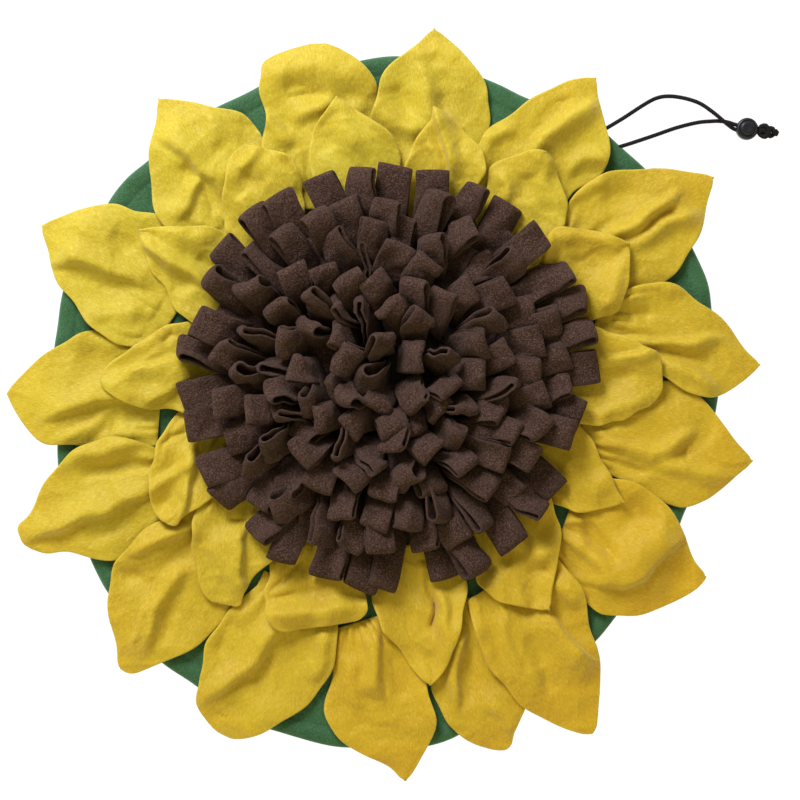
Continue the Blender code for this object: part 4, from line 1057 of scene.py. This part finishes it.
def loop_strip(loop):
    """Points of a loop's closed strip, stations by profile points, cloth coordinates and rim mark.

    The strip goes up one leg, over a half circle and down the other leg. Both legs share a bow
    across their width, a crease that runs aslant, and faint ripples. They grow from the root up.
    """
    legs = np.linspace(0, 1, LEG_STEPS)
    caps = np.linspace(0, math.pi, CAP_STEPS + 2)[1:-1]
    steps = np.concatenate([legs, np.ones(CAP_STEPS), legs[::-1]])
    facing = np.concatenate([np.zeros(LEG_STEPS), caps, np.full(LEG_STEPS, math.pi)])
    line, slope, side, out = loop_frame(loop, steps)
    normal = np.cos(facing)[:, None] * out + np.sin(facing)[:, None] * slope
    middle = line + normal * loop_opening(loop, steps)[:, None]
    width = loop["width"] / 2 * (loop["root_width"] + (1 - loop["root_width"]) * smooth_step(steps / 0.55))
    reach = width[:, None] * PROFILE_X
    grown = smooth_step((steps - 0.2) / 0.5)[:, None]

    def aslant(way, start):
        """Distance over the strip from a line at the given angle, from a share of the leg on."""
        return reach * math.cos(way) + (steps[:, None] - start) * loop["leg"] * math.sin(way)

    crease = np.exp(-(aslant(loop["crease_way"], loop["crease_at"]) / CREASE_WIDTH) ** 2)
    both = grown * (loop["bow"] * PROFILE_X ** 2 + loop["crease"] * crease)
    for way, pitch, start in loop["ripples"]:
        both = both + grown * RIPPLE_HEIGHT * np.sin(aslant(way, 0.0) * 2 * math.pi / pitch + start)
    points = (middle[:, None, :] + side[:, None, :] * reach[..., None]
              + normal[:, None, :] * (PROFILE_Y - loop["cup"] * grown * PROFILE_X ** 2)[..., None]
              + out[:, None, :] * both[..., None]
              + slope[:, None, :] * (loop["skew"] * grown * PROFILE_X)[..., None])
    points[..., 2] = np.maximum(points[..., 2], LEAST_HEIGHT)
    distance = np.concatenate([[0], np.cumsum(np.linalg.norm(np.diff(middle, axis=0), axis=1))])
    cloth = np.stack(np.broadcast_arrays(reach, distance[:, None]), axis=-1)
    # painted highlight: the rim value lightens the strip's two edges
    rim = np.broadcast_to(np.abs(PROFILE_X) ** 10 * 0.8, cloth.shape[:2])
    return points, cloth, rim


# %% Choosing how each loop stands
# limits of what differs from loop to loop: turns in radians, sizes in millimetres, or shares
LOOP_LIMITS = {
    "twist": (-0.9, 0.9), "bend": (0.72, 0.98), "sway": (-7.0, 7.0, 2), "cup": (0.0, 0.5), "bow": (-4.0, 4.0),
    "crease": (-3.2, 3.2), "crease_way": (0.3, 2.8), "crease_at": (0.6, 1.0), "skew": (-1.8, 1.8),
    "root_width": (0.78, 0.92), "width": (0.88, 1.04),
}
OPENINGS, OPENING_ODDS = (2.8, 3.6, 4.6, 6.2), (0.35, 0.3, 0.2, 0.15)
OUTER_WIDER = 1.06
# share of the inner loops that stand edge-on, and their turns
EDGE_ON, EDGE_ON_TURNS = 0.26, (0.8, 1.3)
RIPPLES = 3
# the greatest height of a tip, and the least rise from its root
MOST_TOP, LEAST_RISE = 55.0, 13.0
# loops that reach past this distance have petals under them, and are kept so far above them
PETALS_FROM, CLEAR_OF_PETALS = 122.0, 1.4
# tries for each loop, the clearance at which one is good enough, and where neighbours are looked for
TRIES, CLEAR_ENOUGH, NEIGHBOURS_IN = 50, 4.6, 70.0


def loop_spots(loop):
    """Sample places all over a loop, by which its distance to others is judged."""
    steps = np.array([0.25, 0.42, 0.58, 0.72, 0.86, 1.0])
    line, _, side, out = loop_frame(loop, steps)
    x = np.linspace(-0.5, 0.5, 5) * STRIP_WIDTH
    leaf = line[:, None, :] + side[:, None, :] * x[None, :, None]
    shift = out[:, None, :] * loop_opening(loop, steps)[:, None, None]
    return np.concatenate([leaf + shift, leaf - shift]).reshape(-1, 3)


def one_loop(root, tip, ring, chance, heights):
    """One way for a loop to stand, raised until it is clear of the petals under it."""
    leg, most_turn = RINGS[ring][3], RINGS[ring][5]
    move = 1.5 if ring == 0 else 5.5
    tip = tip + chance.uniform(-move, move, 2)
    chord = 0.945 * leg * (1 + chance.uniform(-0.16, 0.09))
    run = float(np.hypot(*(tip - root)))
    opening = chance.choice(OPENINGS, p=OPENING_ODDS) * chance.uniform(0.9, 1.15)
    turn = chance.uniform(-most_turn, most_turn)
    if 0 < ring < 6 and chance.random() < EDGE_ON:
        turn = chance.choice([-1.0, 1.0]) * chance.uniform(*EDGE_ON_TURNS)
    loop = {title: chance.uniform(*limits) for title, limits in LOOP_LIMITS.items()}
    top = min(FOOT_LEVEL + math.sqrt(max(chord ** 2 - run ** 2, LEAST_RISE ** 2)), MOST_TOP)
    loop.update(root=root, tip=tip, leg=leg, top=top, turn=turn, open=opening)
    loop["cup"] *= opening - STRIP
    loop["width"] = STRIP_WIDTH * loop["width"] * (OUTER_WIDER if ring == 0 else 1.0)
    loop["ripples"] = [(chance.uniform(0, math.pi), chance.uniform(11, 22), chance.uniform(0, 6.3))
                       for k in range(RIPPLES)]
    for raising in range(12):
        spots = loop_spots(loop)
        over = heights[cell_of(spots[:, :2])] + CLEAR_OF_PETALS - spots[:, 2]
        over = over[np.hypot(*(spots[:, :2] - PILE_ROOT).T) > PETALS_FROM]
        if over.size == 0 or over.max() <= 0:
            break
        loop["top"] += 1.2 * over.max() + 0.3
    return loop, spots


def place_loops(heights):
    """Every loop in turn, the clearest of many tries for each."""
    chance = np.random.default_rng(7)
    loops, clouds, faces = [], [], []
    for root, tip, ring in zip(*tips_of_pile()):
        best = (-1.0, None, None)
        near = [cloud for cloud, face in zip(clouds, faces) if np.hypot(*(face - tip)) < NEIGHBOURS_IN]
        others = np.concatenate(near) if near else np.full((1, 3), 999.0)
        for attempt in range(TRIES):
            loop, spots = one_loop(root, tip, ring, chance, heights)
            apart = math.sqrt(float(((others[:, None] - spots[None]) ** 2).sum(-1).min()))
            if apart > best[0]:
                best = (apart, loop, spots)
            if best[0] > CLEAR_ENOUGH:
                break
        loops.append(best[1])
        clouds.append(best[2])
        faces.append(tip)
    return loops


# %% The pile as one mesh
def make_pile(loops):
    """All the strips joined in one mesh, each closed at its two feet."""
    points, cloth, rim = [np.array(part) for part in zip(*[loop_strip(loop) for loop in loops])]
    index = np.arange(points[..., 0].size).reshape(points.shape[:3])
    faces = [quads(part, wrap_columns=True) for part in index]
    faces += [end_quads(feet)[:, ::-1] for feet in index[:, 0]] + [end_quads(feet) for feet in index[:, -1]]
    return mesh_piece("pile_of_loops", points.reshape(-1, 3), faces, brown_fleece,
                      cloth.reshape(-1, 2) * MM, {"rim": rim})


loops = place_loops(widened(heights, 1))
pile = make_pile(loops)
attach(pile, "root")
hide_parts("loop_pile")
print("loops:", len(loops), "faces:", len(pile.data.polygons))

# %% [markdown]
# ## The drawstring
# The cord is a braid of fine black yarns. Two families of waves run round the tube the one
# way and the other, and where they cross the yarns stand up in small diamonds.

# %% Cord, lock and knot materials
def plain_black(name, colour, rough, shine, grain, bump):
    """A black material with a fine grain in its colour and relief."""
    look, tree = new_look(name)
    speckle = noise(tree, tree.nodes.new("ShaderNodeTexCoord").outputs["Object"], grain, 3.0, 0.6)
    lighter = [value * 2.2 for value in colour]
    fill_inputs(tree, tree.nodes["Principled BSDF"], {
        "Base Color": mix_colours(tree, share_between(tree, speckle, 0.4, 0.7), colour, lighter),
        "Normal": relief(tree, speckle, bump), "Roughness": rough, "Specular IOR Level": shine,
    })
    return look


black_cord = plain_black("black_braid", (0.009, 0.0075, 0.007), 0.8, 0.15, 2500.0, 0.0001)
black_plastic = plain_black("black_moulding", (0.008, 0.008, 0.008), 0.35, 0.4, 1800.0, 0.00003)

# %% The two strands
CORD_YARNS = 8
BRAID_PITCH = 7.0
# how far a yarn stands up where it crosses another, as a share of the cord's radius
YARN_RISE = 0.06
TUBE_POINTS = 24


def tube_frames(path):
    """Two directions square to a path at each of its points."""
    run = np.gradient(path, axis=0)
    run /= np.linalg.norm(run, axis=1, keepdims=True)
    side = np.cross(run, np.array([0.0, 0.0, 1.0]))
    side /= np.linalg.norm(side, axis=1, keepdims=True)
    return side, np.cross(side, run)


def braided_tube(name, path, radius):
    """A tube whose radius carries two crossing families of waves, as braided yarns do."""
    side, up = tube_frames(path)
    around = np.arange(TUBE_POINTS) / TUBE_POINTS * 2 * math.pi
    gone = np.concatenate([[0], np.cumsum(np.linalg.norm(np.diff(path, axis=0), axis=1))])[:, None]
    turn = gone * 2 * math.pi / BRAID_PITCH
    one = np.cos(CORD_YARNS / 2 * (around[None, :] - turn))
    other = np.cos(CORD_YARNS / 2 * (around[None, :] + turn))
    size = radius * (1.0 + YARN_RISE * np.maximum(one, other))
    points = (path[:, None, :] + side[:, None, :] * (size * np.cos(around))[..., None]
              + up[:, None, :] * (size * np.sin(around))[..., None])
    index = np.arange(points[..., 0].size).reshape(points.shape[:2])
    faces = [quads(index, wrap_columns=True)[:, ::-1], end_quads(index[0]), end_quads(index[-1])[:, ::-1]]
    return mesh_piece(name, points.reshape(-1, 3), faces, black_cord)


strands = {}
for name, line in strand_paths.items():
    strands[name] = braided_tube("drawstring_" + name, line, CORD_RADIUS)
    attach(strands[name], "root")
    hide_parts("cord_" + name)
print("strand faces:", {name: len(strand.data.polygons) for name, strand in strands.items()})

# %% [markdown]
# ## The cord lock and the knot
# The lock is a small round moulding with a spring button on top: a turned profile, with a
# groove round it and a ring where the button goes in. Behind it the two ends are tied
# together in an overhand knot, and their short tails stick out.

# %% Cord lock
LOCK_CENTRE = (275.3, 209.1)
LOCK_PROFILE = (
    (1.5, 0.5), (6.6, 0.5), (7.6, 0.8), (8.2, 1.5), (8.4, 2.4), (8.4, 3.6), (8.2, 4.2), (8.2, 4.8), (8.4, 5.4),
    (8.4, 6.6), (8.2, 7.6), (7.6, 8.3), (6.9, 8.7), (6.3, 8.7), (6.0, 8.3), (5.7, 8.2), (5.4, 8.5), (5.4, 9.3),
    (5.2, 9.9), (4.6, 10.3), (3.4, 10.5), (2.2, 10.3), (1.0, 10.2),
)


def turned(name, profile, centre, look, around=72):
    """A profile of radii and heights turned about a standing axis, closed at both poles."""
    radius, level = np.array(profile).T[..., None]
    angle = np.arange(around) / around * 2 * math.pi
    points = np.stack(np.broadcast_arrays(
        centre[0] + radius * np.cos(angle), centre[1] + radius * np.sin(angle), level), axis=-1)
    index = np.arange(points[..., 0].size).reshape(points.shape[:2])
    poles = [(*centre, profile[0][1]), (*centre, profile[-1][1])]
    faces = [quads(index, wrap_columns=True),
             fan(index[0], index.size, False), fan(index[-1], index.size + 1, True)]
    return mesh_piece(name, np.concatenate([points.reshape(-1, 3), poles]), faces, look)


lock = turned("round_cord_lock", LOCK_PROFILE, LOCK_CENTRE, black_plastic)
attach(lock, "root")
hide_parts("cord_lock")
print("lock faces:", len(lock.data.polygons))

# %% End knot
# the knot with its first tail, and the second end with its own; thicker than the cord, pulled tight
KNOT_RADIUS = 1.8
KNOT_ROUTE = (
    (283.5, 208.9, 4.6), (285.8, 204.8, 4.0), (289.5, 203.2, 4.8), (292.0, 206.6, 6.8), (289.4, 211.2, 7.2),
    (285.6, 210.2, 5.4), (286.2, 206.4, 3.4), (289.4, 205.6, 2.4), (292.6, 209.4, 2.8), (295.2, 209.2, 3.8),
    (296.6, 206.4, 3.6), (299.0, 205.2, 2.6),
)
SECOND_TAIL = (
    (284.5, 206.2, 4.6), (287.6, 208.2, 6.2), (290.8, 205.4, 5.0), (293.4, 203.8, 3.4), (295.8, 205.0, 2.4),
    (299.4, 208.0, 2.2),
)
tails = [braided_tube("knot_part_" + str(k), smooth_path(route, 0.4), KNOT_RADIUS)
         for k, route in enumerate((KNOT_ROUTE, SECOND_TAIL))]
bpy.ops.object.select_all(action="DESELECT")
for tail in tails:
    tail.select_set(True)
bpy.context.view_layer.objects.active = tails[0]
bpy.ops.object.join()
knot = tails[0]
knot.name = "tied_end_knot"
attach(knot, "root")
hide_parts("cord_knot")


def route_length(path):
    """Length of a route in metres."""
    return float(np.linalg.norm(np.diff(path, axis=0), axis=1).sum()) * MM


for name, with_pieces in (("upper", [lock, knot]), ("lower", [])):
    line = strand_paths[name]
    print("strand", name, "%.0f mm" % (route_length(line) / MM))

# %% [markdown]
# ## The floor
# A plain white floor, wide enough for any view, just below the mat. It is white by a glow of its
# own and hardly answers to the lamps, so it is evenly white, as the photo's ground is.

# %% Floor
FLOOR_HALF = 10000.0
FLOOR_LEVEL = -0.4


def plain_floor():
    """A wide flat square of two by two faces, glowing white."""
    look, tree = new_look("white_floor")
    fill_inputs(tree, tree.nodes["Principled BSDF"], {
        "Base Color": (0.08, 0.08, 0.08, 1.0), "Roughness": 0.9,
        "Emission Color": (1.0, 1.0, 1.0, 1.0), "Emission Strength": 1.0,
    })
    side = np.linspace(-FLOOR_HALF, FLOOR_HALF, 3)
    x, y = np.meshgrid(side, side)
    points = np.stack([x, y, np.full_like(x, FLOOR_LEVEL)], axis=-1).reshape(-1, 3)
    return mesh_piece("floor", points, [quads(np.arange(9).reshape(3, 3))], look)


floor = plain_floor()
